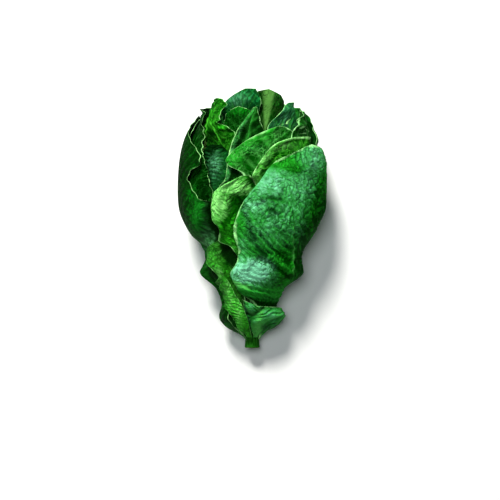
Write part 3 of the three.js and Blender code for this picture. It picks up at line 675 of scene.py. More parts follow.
def leaf_marks(leaf, form, s, edge, points, vein, pucker, streak):
    """What the blade's colours are worked out from: how much of each there is at each place."""
    # A roll gets a painted highlight and more sheen, and the dip behind it painted shade.
    lighter, darker = leaf["roll_tone"]
    bloom = leaf["bloom"] + 0.4 * lighter * form["roll"]
    # Painted shade where other leaves cover the blade.
    tone = leaf["tone"] - SHADED * form["covered"] + lighter * form["roll"] - darker * form["dip"]
    # Creases get painted shade and lose their sheen.
    for line, wide, _, dark in leaf["creases"]:
        crease = crease_at(points, line, wide)
        tone = tone - dark * crease
        bloom = bloom * (1 - np.clip(dark, 0, 1) * crease)
    # Patches paint highlights, sheen and shade onto the blade.
    for at_x, at_y, wide, high, light, waxier_sheen in leaf["patches"]:
        at = spot(points[..., 0] - at_x, points[..., 1] - at_y, wide, high)
        tone = tone + light * at
        bloom = bloom + waxier_sheen * at
    x, y = form["flat"]
    shown_edge = edge / leaf["line"] + 0.35 * soft_noise(y / 3, x / 5 + leaf["draw"], 1)
    for at_x, at_y, wide, high in leaf["bare"]:
        shown_edge = shown_edge + 2 * spot(points[..., 0] - at_x, points[..., 1] - at_y, wide, high)
    for line in leaf["curls"]:
        shown_edge = shown_edge * smooth(0.5, 1.2, line_share(points, line, (CURL_HALF, CURL_HALF)))
    stripe = 0 * edge
    for line, wide in leaf["stripes"]:
        stripe = np.maximum(stripe, 1 - smooth(0.5, 1.25, line_share(points, line, wide)))
    vein_pale, rib_pale = leaf["pale"]
    rib = rib_pale * form["rib_shape"] * (1 - 0.55 * s) + 0.25 * form["near"]
    # Wrinkle crests get painted light and sheen, their troughs painted shade.
    return {
        "rib": np.maximum(stripe, rib), "vein": vein_pale * vein * (1 - stripe), "edge": shown_edge,
        "pucker": pucker, "tone": tone + 0.35 * streak, "bloom": bloom * (1 + 0.5 * streak),
        "net": leaf["net"] * (1 - form["near"]),
    }


def edge_distance(points, margin):
    """The distance in mm from each point of the blade to its margin."""
    flat = points.reshape(-1, 3)
    nearest = np.full(len(flat), FAR)
    for start in range(0, len(margin), 64):
        part = margin[start:start + 64]
        away = ((flat[:, None, :] - part[None]) ** 2).sum(-1).min(1)
        nearest = np.minimum(nearest, away)
    return np.sqrt(nearest).reshape(points.shape[:-1])


def sheet_faces(rows, columns):
    """Faces and bake places of a closed sheet: outer face, inner face and rim."""
    in_row = columns + 1
    inside = (rows + 1) * in_row

    def bake_place(corner):
        return np.stack([
            0.01 + 0.47 * (corner % in_row) / columns, 0.02 + 0.96 * (corner // in_row) / rows,
        ], -1)

    i, j = np.meshgrid(np.arange(rows), np.arange(columns), indexing="ij")
    a = (i * in_row + j).ravel()
    outer = np.stack([a, a + 1, a + in_row + 1, a + in_row], -1)
    inner = np.stack([a, a + in_row, a + in_row + 1, a + 1], -1)
    bottom = np.arange(columns)
    right = np.arange(rows) * in_row + columns
    top = rows * in_row + np.arange(columns, 0, -1)
    left = np.arange(rows, 0, -1) * in_row
    rim = np.concatenate([bottom, right, top, left])
    after = np.roll(rim, -1)
    sides = np.stack([after, rim, rim + inside, after + inside], -1)
    n = np.arange(len(rim)) / len(rim)
    m = n + 1 / len(rim)
    low, high = 0 * n + 0.988, 0 * n + 0.998
    sides_uv = np.stack([np.stack(corner, -1) for corner in [(m, low), (n, low), (n, high), (m, high)]], 1)
    uvs = np.concatenate([bake_place(outer), bake_place(inner) + (0.5, 0), sides_uv])
    return np.concatenate([outer, inner + inside, sides]), uvs


# What a leaf is given, with lengths in mm. Places on it are as seen from above: x from the head's middle line
# and y above the cut.
leaf_defaults = {
    "grid": (110, 80),  # rows and columns of the mesh
    "inset": [(0, 0), (0.5, 0.4), (1, 0.8)],  # how deep it lies below the skin, by share of its length
    "rib": (2.6, 1.8),  # the midrib's half width and height at the base
    "clasp": 9,  # height of the base that wraps the stem
    "puff": 0,  # how far the blade is crowned
    "ruffle": (1.2, 3, 0),  # the margin's long waves: height, count and phase
    "frill": (0.45, 6.5),  # its short ones: height and length
    "teeth": 0.5,  # depth of its teeth and nicks
    "folds": [],  # folded margins: side, start, end, lift, width and whether it rolls back
    "roll_tone": (0, 0),  # painted highlight: how much lighter a roll is; painted shade: how much darker the dip behind it
    "dip": 0,  # depth of the dip behind a roll
    "bulges": [],  # x, y, width, height and lift
    "veins": (0.75, 8),  # the side veins' slope and spacing
    "one_way": 0,  # 1 where they all rise one way
    "sunk": 0.3,  # how deep they are sunk
    "pillow": 0.1,  # how far the blade swells between them
    "pucker": 0.5,  # height, size and stretch along the veins of the puckers
    "cell": 3,
    "stretch": 1.7,
    "swell": 0.25,  # height of the uneven swellings, some 9 mm wide
    "calm": [],  # smoother places: x, y, width, height and how much
    "wrinkles": [],  # cross wrinkles: x, y, width, height, rise, spacing and slant
    "creases": [],  # lines, half width, depth and how much darker with painted shade
    "tone": 0,  # how light the whole blade is, and how much bluish wax and painted sheen it has
    "bloom": 0.1,
    "patches": [],  # x, y, width, height, how much lighter and how much waxier: mostly painted highlights, sheen and shade
    "pale": (0.6, 1),  # how pale its veins and its midrib are
    "net": 0.22,  # how pale its net of fine veins is
    "line": 1,  # width of the pale line along the margin
    "bare": [],  # places on the margin without it: x, y, width and height
    "curls": [],  # pale lines where curled margins cross the blade
    "stripes": [],  # pale ribs: a line and its half width at either end
}
leaves = []
DRAW_STEP = 3.37  # each leaf's noises start this much further on
ROOM_GRID = (111, 71)
THIN_EDGE = 0.12  # the blade's share of thickness at its margin, squared, and at the foot of its base
THIN_BASE = 0.25
BOX_LOW = np.array(cad_low) / MM
BOX_HIGH = np.array(cad_high) / MM


def toothed_form(leaf):
    """The leaf's form on its mesh grid, its margin cut back a little by small teeth and nicks."""
    rows, columns = leaf["grid"]
    s = station_at(leaf, np.arange(rows + 1) / rows)
    s, t = np.meshgrid(s, np.linspace(-1, 1, columns + 1), indexing="ij")
    whole = leaf_form(leaf, s, t)
    y = whole["flat"][1]
    nick = 0.5 + 0.5 * soft_noise(y / 1.7 + 40 * (t < 0), leaf["draw"] + 0 * y)
    nick = 0.6 * nick + 0.4 * (0.5 + 0.5 * soft_noise(y / 5, leaf["draw"] + 9 * (t < 0)))
    pull = leaf["teeth"] * nick * smooth(4, 14, y) / np.maximum(whole["half"], 3)
    return leaf_form(leaf, s, t * (1 - pull)), s


def take_room(leaf):
    """Marks the room that a leaf takes from the leaves further in."""
    rows, columns = ROOM_GRID
    s, t = np.meshgrid(np.linspace(0, 1, rows), np.linspace(-1, 1, columns), indexing="ij")
    room = leaf_form(leaf, s, t)
    i = np.floor(np.mod(room["turn"] / (2 * math.pi) * TURNS + 4 * TURNS, TURNS) + 0.5).astype(int) % TURNS
    j = np.clip(np.floor(room["height"] / HEIGHT_STEP + 0.5).astype(int), 0, HEIGHTS - 1)
    np.maximum.at(filled, (i, j), room["depth"] + room["inner"])
    wide = filtered(filled, (2, 1), (4, 4), False)
    limit[:] = filtered(filtered(wide, (1, 1), (1, 2), True), (1, 1), (1, 1), True)


def grow_leaf(node, material, slot, **given):
    """Makes the leaf that stands for a node. The outer leaves come first, and the rest nest inside them."""
    leaf = {**leaf_defaults, **given}
    leaf["draw"] = (len(leaves) + 1) * DRAW_STEP
    form, s = toothed_form(leaf)
    points = place(form["turn"], form["height"], form["depth"])
    margin = np.concatenate([points[:, 0], points[-1], points[::-1, -1]])
    edge = edge_distance(points, margin)
    relief, vein, pucker, streak, plan = leaf_relief(leaf, form, edge, points)
    rim = np.sqrt(np.clip(edge / RIM, THIN_EDGE, 1)) * mix(THIN_BASE, 1, smooth(0, 4.5, form["flat"][1]))
    outer = (SHOWN_BLADE / 2 + BASE_THICKER * form["near"] + RIB_OUTSIDE * form["rib"]) * rim + relief
    inner = (SHOWN_BLADE / 2 + RIB_INSIDE * form["rib"]) * rim - relief
    corners = []
    for depth in (form["depth"] - outer, form["depth"] + inner):
        face = place(form["turn"], form["height"], depth)
        corners.append(np.clip(face, BOX_LOW - HEAD_SHIFT, BOX_HIGH - HEAD_SHIFT).reshape(-1, 3))
    marks = {"plan": np.concatenate([plan.reshape(-1, 3)] * 2)}
    for name, values in leaf_marks(leaf, form, s, edge, points, vein, pucker, streak).items():
        marks[name] = np.concatenate([values.ravel()] * 2)
    piece = make_piece(node + "_blade", np.concatenate(corners), *sheet_faces(*leaf["grid"]), marks)
    piece.data.materials.append(material)
    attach(piece, "root")
    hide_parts(node)
    take_room(leaf)
    leaves.append(piece)


LEAF_MARKS = ("Rib", "Vein", "Edge", "Pucker", "Tone", "Bloom", "Net")
RELIEF_DEPTH = 0.0013


def make_leaf_skin():
    """The colour, gloss and fine relief of a leaf, as a group that each leaf material uses with its own
    greens: quilted puckers with painted shade in their creases, a net of fine veins, pale ribs, a pale margin
    line, patches of bluish wax with a painted sheen, and painted near-black shade in the deepest hollows."""
    group = bpy.data.node_groups.new("leaf_skin", "ShaderNodeTree")
    sockets = group.interface
    sockets.new_socket("Plan", in_out="INPUT", socket_type="NodeSocketVector")
    for name in LEAF_MARKS:
        sockets.new_socket(name, in_out="INPUT", socket_type="NodeSocketFloat")
    for name in ("Deep green", "Light green", "Rib colour", "Margin colour", "Wax and sheen colour"):
        sockets.new_socket(name, in_out="INPUT", socket_type="NodeSocketColor")
    sockets.new_socket("Colour", in_out="OUTPUT", socket_type="NodeSocketColor")
    sockets.new_socket("Roughness", in_out="OUTPUT", socket_type="NodeSocketFloat")
    sockets.new_socket("Relief", in_out="OUTPUT", socket_type="NodeSocketFloat")
    given = group.nodes.new("NodeGroupInput").outputs
    out = group.nodes.new("NodeGroupOutput").inputs
    plan = given["Plan"]
    mottled = noise(group, plan, 0.15, 3)
    grain = noise(group, plan, 1.1, 3, 0.6)
    warped = group.nodes.new("ShaderNodeVectorMath")
    warped.operation = "MULTIPLY_ADD"
    feed(group, warped.inputs[0], noise(group, plan, 0.35, 2).node.outputs["Color"])
    warped.inputs[1].default_value = (3.5, 3.5, 0)
    feed(group, warped.inputs[2], plan)
    net = group.nodes.new("ShaderNodeTexVoronoi")
    net.feature = "DISTANCE_TO_EDGE"
    feed(group, net.inputs["Vector"], warped.outputs[0])
    net.inputs["Scale"].default_value = 0.42
    net_line = span(group, net.outputs["Distance"], 0.0, 0.14, 1.0, 0.0)
    net_line = times(group, net_line, span(group, noise(group, plan, 0.17, 2), 0.4, 0.6, 0.15, 1.0))
    # Painted shade and light: from the creases up to the tops of the puckers the green gets lighter.
    share = maths(group, "MULTIPLY_ADD", given["Pucker"], 0.86, -0.34)
    share = plus(group, share, times(group, span(group, mottled, 0.3, 0.7), 0.5))
    share = plus(group, share, times(group, span(group, grain, 0.3, 0.7), 0.46))
    share = plus(group, share, given["Tone"])
    colour = tinted(group, share, given["Deep green"], given["Light green"])
    colour = tinted(group, times(group, net_line, given["Net"]), colour, given["Rib colour"])
    # Bluish wax with a painted sheen, most on the tops of the puckers.
    patchy = span(group, noise(group, plan, 0.45, 4, 0.65), 0.36, 0.66, 0.3, 1.0)
    wax_sheen = times(group, given["Bloom"], patchy)
    wax_sheen = times(group, wax_sheen, span(group, given["Pucker"], 0.15, 0.75, 0.35, 1.15))
    colour = tinted(group, times(group, wax_sheen, 0.75), colour, given["Wax and sheen colour"])
    colour = tinted(group, times(group, given["Vein"], 0.45), colour, given["Rib colour"])
    colour = tinted(group, times(group, given["Rib"], 0.85), colour, given["Rib colour"])
    line = span(group, given["Edge"], 0.05, 0.42, 0.85, 0.0)
    line = times(group, line, span(group, noise(group, plan, 0.3, 2), 0.35, 0.6, 0.5, 1.0))
    colour = tinted(group, line, colour, given["Margin colour"])
    # Painted shade: the deepest hollows are nearly black-green, veins and all.
    colour = tinted(group, span(group, share, -0.35, -1.5, 0.0, 0.9), colour, (0.0, 0.008, 0.0, 1))
    feed(group, out["Colour"], colour)
    feed(group, out["Roughness"], maths(group, "MULTIPLY_ADD", grain, 0.2, 0.5))
    feed(group, out["Relief"], plus(group, times(group, grain, 0.6), times(group, net_line, -0.35)))
    return group


leaf_skin = make_leaf_skin()


def leaf_material(
    title, deep, light, rib=(0.035, 0.36, 0.035), margin=(0.4, 0.95, 0.3), wax_sheen=(0.22, 0.72, 0.4),
):
    material, tree, shader = new_material(title)
    skin = tree.nodes.new("ShaderNodeGroup")
    skin.node_tree = leaf_skin
    feed(tree, skin.inputs["Plan"], mark(tree, "plan", "Vector"))
    for name in LEAF_MARKS:
        feed(tree, skin.inputs[name], mark(tree, name.lower()))
    skin.inputs["Deep green"].default_value = (*deep, 1)
    skin.inputs["Light green"].default_value = (*light, 1)
    skin.inputs["Rib colour"].default_value = (*rib, 1)
    skin.inputs["Margin colour"].default_value = (*margin, 1)
    skin.inputs["Wax and sheen colour"].default_value = (*wax_sheen, 1)
    feed(tree, shader.inputs["Base Color"], skin.outputs["Colour"])
    feed(tree, shader.inputs["Roughness"], skin.outputs["Roughness"])
    feed(tree, shader.inputs["Normal"], bumped(tree, skin.outputs["Relief"], RELIEF_DEPTH))
    shader.inputs["IOR"].default_value = SOFT_GLOSS_IOR
    return material


lime_leaf = leaf_material(
    "lime_leaf", (0.0, 0.05, 0.0), (0.024, 0.4, 0.01), rib=(0.06, 0.47, 0.025), wax_sheen=(0.28, 0.85, 0.2),
)
green_leaf = leaf_material(
    "green_leaf", (0.0, 0.045, 0.0), (0.014, 0.3, 0.014), rib=(0.09, 0.5, 0.08), margin=(0.42, 1.0, 0.34),
)

grow_leaf(
    "leaf_low_left", lime_leaf, "lime_leaf",
    grid=(100, 60), rib=(2.4, 1.6), ruffle=(0.5, 3, 0), clasp=6, cell=2.6, pucker=0.45, line=0.3,
    tone=0.2, pale=(0.3, 0.35), net=0.1,
    # Its patches paint a bluish highlight on the midrib, lit wrinkles, and shade low down and along its left
    # side.
    patches=[
        (-14.4, 37, 1.6, 4, 0, 1), (-13.5, 16, 3, 5, -0.7, 0), (-7.5, 23, 2, 9, 0.3, 1),
        (-12.5, 29, 2.2, 4, 0.2, 0.7), (-4, 11, 6, 3.5, -0.6, -0.2), (-17.5, 27, 2, 8, -0.5, 0),
    ],
    wrinkles=[(-10, 24, 9, 15, 0.32, 1.7, 0.2)],
    inset=[(0, 0), (0.6, 0.3), (1, 1)],
    rows=seen(
        115, 6.5, 0.5,
        left=[(-9, 13), (-11, 17.5), (-14.4, 22.5), (-17, 27), (-18, 32), (-19.4, 36.5), (-19.8, 39.4),
            (-18.9, 42)],
        spine=[(-4.6, 13), (-6, 18), (-8, 22), (-10.5, 26.5), (-13.2, 31), (-15.2, 36), (-16.4, 39.8),
            (-17, 43)],
        right=[(-1.6, 13.5), (-2.4, 18), (-3.8, 22), (-6, 27), (-9, 31.5), (-11.4, 36), (-13.2, 39.2),
            (-15, 42)],
    ),
)

grow_leaf(
    "leaf_low_right", green_leaf, "green_leaf",
    grid=(70, 100), rib=(2.4, 1.2), ruffle=(0.5, 2, 0.5), clasp=6, cell=2.6, pucker=0.7,
    # Its patches paint highlights and sheen on the bulges, and shade low down.
    patches=[
        (-1.2, 25.5, 2.2, 2.6, 0.6, 0.5), (12.6, 21, 6, 2.4, 0.6, 0.35), (2.6, 17, 4, 1.2, 0.6, 0.35),
        (10, 11.5, 12, 3.5, -0.6, 0), (8.5, 20.6, 4.5, 2.4, 0.7, 0.35),
    ],
    bulges=[(-1, 25, 3, 2.8, 1.4), (12, 21, 5, 3.5, 1.8), (2.4, 17, 4, 1.8, 1.3)],
    creases=[([(-3, 21.6), (0.6, 21), (3.6, 22.8), (8, 26)], 0.9, 1.5, 0.9)],
    wrinkles=[(12, 19, 10, 6, 0.55, 2.6, -0.35), (2, 25, 4, 3, 0.25, 1.6, 0.6)],
    calm=[(12, 19, 9, 7, 0.6)],
    inset=[(0, 0), (0.6, 0.2), (1, 0.4)],
    rows=seen(
        63, 6.5, 0.5,
        left=[(-3.4, 13), (-4.2, 17), (-5, 20.5), (-6, 25.5), (-6.8, 30.5)],
        spine=[(3, 13.5), (4, 17.5), (5, 21), (4.4, 24), (3.4, 26.4)],
        right=[(13, 12.5), (21.5, 16), (23, 19.5), (22.6, 22), (20, 24.6)],
    ),
)

# ---- Front leaves ----
# The big leaf that wraps the front and the right side, the one under its left margin, whose edge is turned
# back in a roll with a painted highlight, and a small lobed one below that. Thick, quilted blades, waxy with
# a painted sheen where they face up, each clasping the stem with its base.
LEFT = -1
RIGHT = 1

grow_leaf(
    "leaf_front_right", green_leaf, "green_leaf",
    grid=(215, 165), rib=(2.8, 1.7), ruffle=(0.5, 4, 1), puff=1.2, frill=(0.35, 7), line=3.2,
    veins=(1.05, 6), one_way=1, sunk=0.6, pillow=1, pucker=1.2, cell=1.55, stretch=2.5, swell=0.5,
    tone=0.2, bloom=0.06, pale=(0, 0), net=0, bare=[(9, 94, 10, 10)],
    stripes=[([(-11, 40.5), (-2, 37.5)], (1.8, 1.4)), ([(24.4, 74), (24, 46)], (0.35, 0.3))],
    # Its patches paint the sheen at the top, the pale highlight on the fold low down, and shade in the
    # valleys and along the right side.
    patches=[
        (8, 99, 12, 8, 0.1, 1.0), (26, 90, 11, 14, 0.05, 0.35), (-1, 47, 8.5, 5.3, 0.45, 7),
        (36, 115, 7, 9, 0.1, 0.8), (1, 86, 7, 5, 0.1, 0.8), (10.5, 90, 6.5, 2.4, -0.75, -0.45),
        (13, 82.5, 5, 3, -0.6, -0.35), (25, 107, 5, 3.4, -0.5, -0.4), (18, 94.5, 1.6, 1.3, -0.9, -0.5),
        (12, 75, 13, 10, 0.35, 0.5), (-6, 72, 3, 9, 0.4, -0.1), (15, 111, 6, 4, -0.1, -0.5),
        (20, 50, 9, 10, -0.4, -0.2), (40, 80, 9, 30, -0.7, -0.3), (30, 56, 4, 15, -0.8, 0),
        (30, 97, 7, 8, 0, 0.25), (-6, 63, 3.4, 5, 0.1, 0.5), (8, 24.5, 18, 2.6, -0.4, -0.1),
    ],
    creases=[
        ([(-4.5, 84), (-2, 75), (1, 66), (4.5, 60), (8, 57)], 2, 1.8, 0.8),
        ([(5, 69), (9.5, 63.5), (16, 58), (22, 53)], 1.3, 1.2, 0.8),
        ([(4.5, 55), (9.5, 53), (16, 48), (22, 44)], 1.4, 1.3, 1.2),
        ([(10, 57), (16, 52), (22, 47)], 0.7, -0.7, -0.4), ([(3, 69), (5.5, 61)], 0.7, -0.7, -0.3),
        ([(13, 74.5), (20, 70)], 0.7, 0.7, 0.8), ([(15.5, 69), (22, 60.5)], 0.6, 0.6, 0.6),
        ([(11.5, 83.5), (15, 80)], 0.8, 0.7, 0.8), ([(6, 88), (3, 85)], 1.2, 0.6, 0.5),
        ([(24.4, 74), (23.4, 66), (24, 46)], 0.6, -0.6, -0.2),
        ([(-8, 37), (5, 34), (17, 32)], 1.1, -1.1, -0.9), ([(-6, 31), (6, 27.4), (20, 25.4)], 1.9, 1, 1.2),
        ([(-2, 39), (8, 36.4), (18, 35.4)], 0.7, -0.7, -0.6),
    ],
    wrinkles=[(-1, 45, 11, 7, 0.42, 2.6, 0.2), (8, 33, 13, 4, 0.3, 2, 0.25)],
    calm=[(10, 101, 15, 9, 0.6), (34, 113, 9, 12, 0.5), (-1, 46, 9, 6, 0.8)],
    inset=[(0, 1), (0.16, 3), (0.25, 3.2), (0.36, 0.6), (0.6, 0.3), (1, 0.6)],
    folds=[(LEFT, 0.24, 0.42, 1.8, 12, True), (LEFT, 0.5, 0.97, 0.9, 6, False)],
    rows=seen(
        10, 5.5, 0.8,
        left=[(8, 14), (7, 22), (0, 28.5), (-8, 34), (-12.5, 41), (-9.5, 52.5), (-8.5, 60), (-10.8, 71),
            (-5.4, 87.5), (3, 98.5), (12, 110.5), (23, 116.5), (28, 119), (31.5, 120.6)],
        spine=[(12, 14), (15.5, 21.5), (18, 30), (20.2, 38), (23.4, 47), (25.2, 59), (25.8, 66), (27, 77),
            (28.8, 90), (31.2, 102), (33, 112), (33.6, 118.5), (34.2, 120.8), (34.8, 122.2)],
        right=[(16, 14), (22, 21), (23.5, 30), (33, 38), (44, 48), (48, 60), (54, 68), (62, 78), (64, 90),
            (62, 102), (56, 112), (47, 116.5), (42.5, 119.4), (38.5, 121.3)],
    ),
)

grow_leaf(
    "leaf_mid_left", lime_leaf, "lime_leaf",
    grid=(140, 100), rib=(2.2, 1), ruffle=(0.5, 3, 2), clasp=8, veins=(0.9, 5), cell=2.2, pucker=0.4,
    swell=0.3, line=2.4, tone=-0.15, pale=(0.12, 0), net=0.05,
    # Its patches paint the highlight and sheen on the rolled shoulder, and shade in the hollow below it and
    # in the notch at its tip.
    patches=[
        (-8, 89, 5, 4, -0.9, -0.3), (-5, 84, 5, 7, -0.5, 0), (1.5, 100.5, 4, 4.5, -2, -1),
        (-20, 87, 4, 8.5, 0.6, 3.8), (-12, 97, 8, 3.6, 0.5, 3.6), (-13, 74, 7, 6, -0.15, -0.7),
    ],
    creases=[
        ([(-5, 100.5), (-10, 98), (-18, 92.5), (-20, 87), (-19.4, 80.5), (-16, 74)], 3, -0.9, -0.4),
        ([(-12, 80), (-9, 87), (-4, 90.5)], 3.4, 2.2, 0.6),
    ],
    inset=[(0, 3), (0.4, 3), (0.6, 1), (1, 0.2)],
    folds=[(LEFT, 0.5, 0.97, 3.4, 9.5, True)],
    rows=seen(
        60, 13, 1.5,
        left=[(0, 22), (-3, 38), (-8, 52), (-14, 61.5), (-20.4, 65), (-18.5, 71), (-22.5, 77), (-23, 86),
            (-21.5, 93), (-16.5, 97), (-9, 101.5)],
        spine=[(3.5, 22), (2, 38), (-3, 52), (-7, 62), (-11, 70), (-13, 77), (-14, 84), (-14, 91),
            (-12, 96.5), (-9, 100), (-5.5, 103)],
        right=[(7, 22), (9, 38), (9, 52), (8, 62), (8, 70), (7, 78), (6, 86), (5, 92), (3, 97), (1, 101),
            (-1, 103.5)],
    ),
)

grow_leaf(
    "leaf_lobe_left", lime_leaf, "lime_leaf",
    grid=(90, 70), rib=(2, 1), ruffle=(0.7, 4, 0), clasp=8, cell=2.2, pucker=0.45, swell=0.4,
    tone=-0.3, pale=(0.5, 0.2), bulges=[(-15, 58, 4, 7, -3)],
    # Its patches paint shade into the hollow under the leaf above, and light on its left lobe.
    patches=[
        (-15, 60, 5, 5.5, -2, 0), (-12, 54, 3.4, 5, -1.6, 0), (-24.5, 58, 3, 7, 0.35, 0.1),
        (-15.5, 45, 3, 6, 0.7, -0.3), (-19, 45, 2.2, 4, 0.5, 0.8),
    ],
    wrinkles=[(-23, 54, 6, 10, 0.25, 2.2, -0.5)],
    inset=[(0, 2), (0.5, 1.5), (1, 2.5)],
    rows=seen(
        105, 15, 4.5,
        left=[(-11, 28), (-18, 36), (-21, 40), (-20.2, 43), (-22.4, 48), (-25.6, 52.5), (-26.2, 57),
            (-24.4, 61.5), (-21, 66), (-18, 73)],
        spine=[(-8, 28), (-12, 36), (-15, 43), (-16.6, 48), (-18, 53), (-18.6, 57), (-18.4, 61),
            (-17.6, 65), (-16, 69), (-14.5, 75)],
        right=[(-4.5, 28), (-6, 37), (-6, 43), (-6, 49), (-6, 54), (-6, 58), (-7, 63), (-8, 68), (-9, 72),
            (-11, 75)],
    ),
)

# ---- Outer left leaf ----
# A long dark leaf down the left side: one close-ribbed blade, smooth low down, with a deep nick in its inner
# margin. Its broad base clasps the left of the stem.
deep_green_leaf = leaf_material(
    "deep_green_leaf", (0.0, 0.02, 0.0), (0.002, 0.16, 0.004), wax_sheen=(0.14, 0.52, 0.18),
)

grow_leaf(
    "leaf_outer_left", deep_green_leaf, "deep_green_leaf",
    grid=(150, 110), rib=(2.8, 1.7), ruffle=(0.6, 4, 0.6), clasp=6, puff=0.6, frill=(0.8, 5.5),
    veins=(0.6, 5.5), pucker=0.4, swell=0.4, tone=-0.15, bloom=0, pale=(0.25, 0.1), net=0.06,
    # Its patches paint shade along the outer edge and a bluish sheen low down.
    patches=[
        (-26, 65, 3.6, 6, 0.4, 1.4), (-44, 124, 12, 26, -0.9, 0), (-45, 84, 6.5, 36, -1.1, 0),
        (-30, 80, 5, 12, 0.8, 0.1), (-18, 22, 8, 12, -0.6, 0), (-34, 52, 6, 14, -0.5, 0),
    ],
    creases=[([(-25.2, 88), (-25, 82), (-23.4, 76), (-20.5, 71), (-17.5, 67)], 2.4, 1.5, 2.2)],
    folds=[(RIGHT, 0.55, 0.97, 1, 5, False)],
    rows=seen(
        167, 5.5, 0.8,
        left=[(-21, 15), (-26, 26), (-32, 38), (-44, 50), (-50, 62), (-60, 74), (-66, 86), (-68, 98),
            (-67, 108), (-63, 116), (-58, 125), (-53, 132), (-47, 138), (-41, 141)],
        spine=[(-16.5, 15), (-19, 26), (-22, 38), (-31, 50), (-32, 62), (-38, 74), (-43, 86), (-45, 96),
            (-45.5, 105), (-45, 112), (-44, 119.5), (-42.5, 128), (-41, 135.5), (-38.6, 141)],
        right=[(-12, 15), (-14.5, 25), (-17.5, 36), (-20, 48), (-20, 60), (-19.5, 66), (-22.5, 74),
            (-24, 86), (-31, 90.5), (-37, 103), (-29.5, 110), (-30.5, 117), (-36.6, 126), (-36.2, 137)],
    ),
)

# ---- Back leaves ----
# The three outer leaves that the head lies on: the oldest and largest blades, dark and leathery, with their
# bases round the back of the stem. The middle one is pressed flat against the table.
OUTLINE = [  # half width by share of the length, from the base to the tip
    (0, 0), (0.1, 0.15), (0.3, 0.5), (0.52, 0.92), (0.68, 1), (0.82, 0.92), (0.92, 0.7), (0.975, 0.44),
    (1, 0.2),
]


def plain(turn, lean, base, tip, half):
    """Outline rows of a leaf on the head's side or back, from its turn in degrees, heights and half width."""
    rows = []
    for s, share in OUTLINE:
        spine = math.radians(turn + lean * s)
        height = mix(base, tip, s)
        reach = max(half * share / mean_radius(height), math.radians(BASE_HALF))
        drop = 4 * smooth(0.8, 1, s) * share
        rows.append([(spine + reach, height - drop), (spine, height), (spine - reach, height - drop)])
    return rows


grow_leaf(
    "leaf_back_middle", deep_green_leaf, "deep_green_leaf",
    ruffle=(1, 4, 1.6), clasp=7, pucker=0.45, swell=0.2,
    inset=[(0, 0), (0.5, 0.3), (1, 0.6)],
    rows=plain(269, 3, 5.5, 157.6, 37),
)

grow_leaf(
    "leaf_back_right", deep_green_leaf, "deep_green_leaf",
    grid=(110, 76), ruffle=(1.2, 4, 0.4), clasp=7, pucker=0.6, swell=0.3,
    inset=[(0, 0), (0.12, 1.8), (0.21, 4.4), (0.36, 1.4), (0.6, 1), (1, 0.8)],
    rows=plain(320, 4, 5.5, 147, 35),
)

grow_leaf(
    "leaf_back_left", deep_green_leaf, "deep_green_leaf",
    grid=(110, 76), ruffle=(1.2, 4, 2.4), pucker=0.6, swell=0.3,
    inset=[(0, 0), (0.14, 1.8), (0.5, 0.7), (1, 0.8)],
    rows=plain(218, 0, 5.5, 147, 36),
)

# ---- Inner front leaves ----
# The leaves that look out over the edges of the front ones: one with a bright rolled rim, one with an oval
# tip, one with a folded pale margin, and at the sides a narrow, a dark and a bluish one. Thin, tender blades,
# each clasping the stem a layer further in.
blue_green_leaf = leaf_material("blue_green_leaf", (0.0, 0.035, 0.005), (0.008, 0.2, 0.04))

grow_leaf(
    "leaf_rolled_edge", lime_leaf, "lime_leaf",
    rib=(2.2, 1.3), ruffle=(0.3, 3, 0), cell=2.4, pucker=0.45, net=0.7, line=2.6, tone=-0.55, bloom=0,
    # Its patches paint sheen on the roll and shade below it.
    patches=[
        (1, 104, 3.5, 5, 0.1, 0.5), (8, 113.5, 3.5, 5, 0.1, 0.5), (17, 121, 7, 2.6, 0.1, 0.5),
        (17, 110, 8, 4, -0.6, -0.4),
    ],
    inset=[(0, 2), (0.5, 2.2), (1, 1)],
    folds=[(LEFT, 0.6, 0.97, 2.2, 5, True)], roll_tone=(0.85, 0.9), dip=0.8,
    rows=seen(
        15, 13, 3.5,
        left=[(8, 24), (6, 40), (3, 56), (1, 72), (-1, 88), (-1, 98), (0, 104), (5, 112.5), (12, 121.5),
            (22, 125.5), (28.5, 126.5)],
        spine=[(13, 24), (14, 40), (16, 56), (18, 72), (21, 88), (24, 101), (27, 110), (28.5, 116),
            (30, 120.5), (31, 124), (31, 126.8)],
        right=[(17, 24), (21, 40), (26, 56), (33, 74), (38, 92), (39, 108), (38, 114), (37, 118), (36, 121),
            (35, 124), (33.5, 126.5)],
    ),
)

grow_leaf(
    "leaf_right_inner", green_leaf, "green_leaf",
    grid=(150, 90), rib=(2.2, 1.3), ruffle=(1.6, 7, 0.3), tone=-0.5, bloom=0, net=0.4,
    curls=[
        [(24.5, 130.5), (26.8, 134.5)], [(26.8, 134.5), (28.2, 131.5)], [(28.2, 131.5), (31, 133)],
        [(26.8, 134.5), (28, 138)], [(27.5, 128.5), (32, 129.5)], [(31, 133), (33.5, 131)],
    ],
    inset=[(0, 3), (0.25, 4.4), (0.5, 3.2), (1, 0.5)],
    rows=seen(
        -30, 13, 3.5,
        left=[(18, 28), (22, 50), (24, 74), (27, 96), (26, 114), (24, 126), (25, 134), (27, 139),
            (29, 142.6)],
        spine=[(21, 28), (31, 50), (36, 74), (40, 96), (39, 114), (36, 127), (34.5, 135), (33, 140.5),
            (32, 144)],
        right=[(25, 28), (40, 50), (52, 74), (55, 96), (52, 114), (47, 126), (43, 133), (39.5, 138.5),
            (35.5, 142.4)],
    ),
)

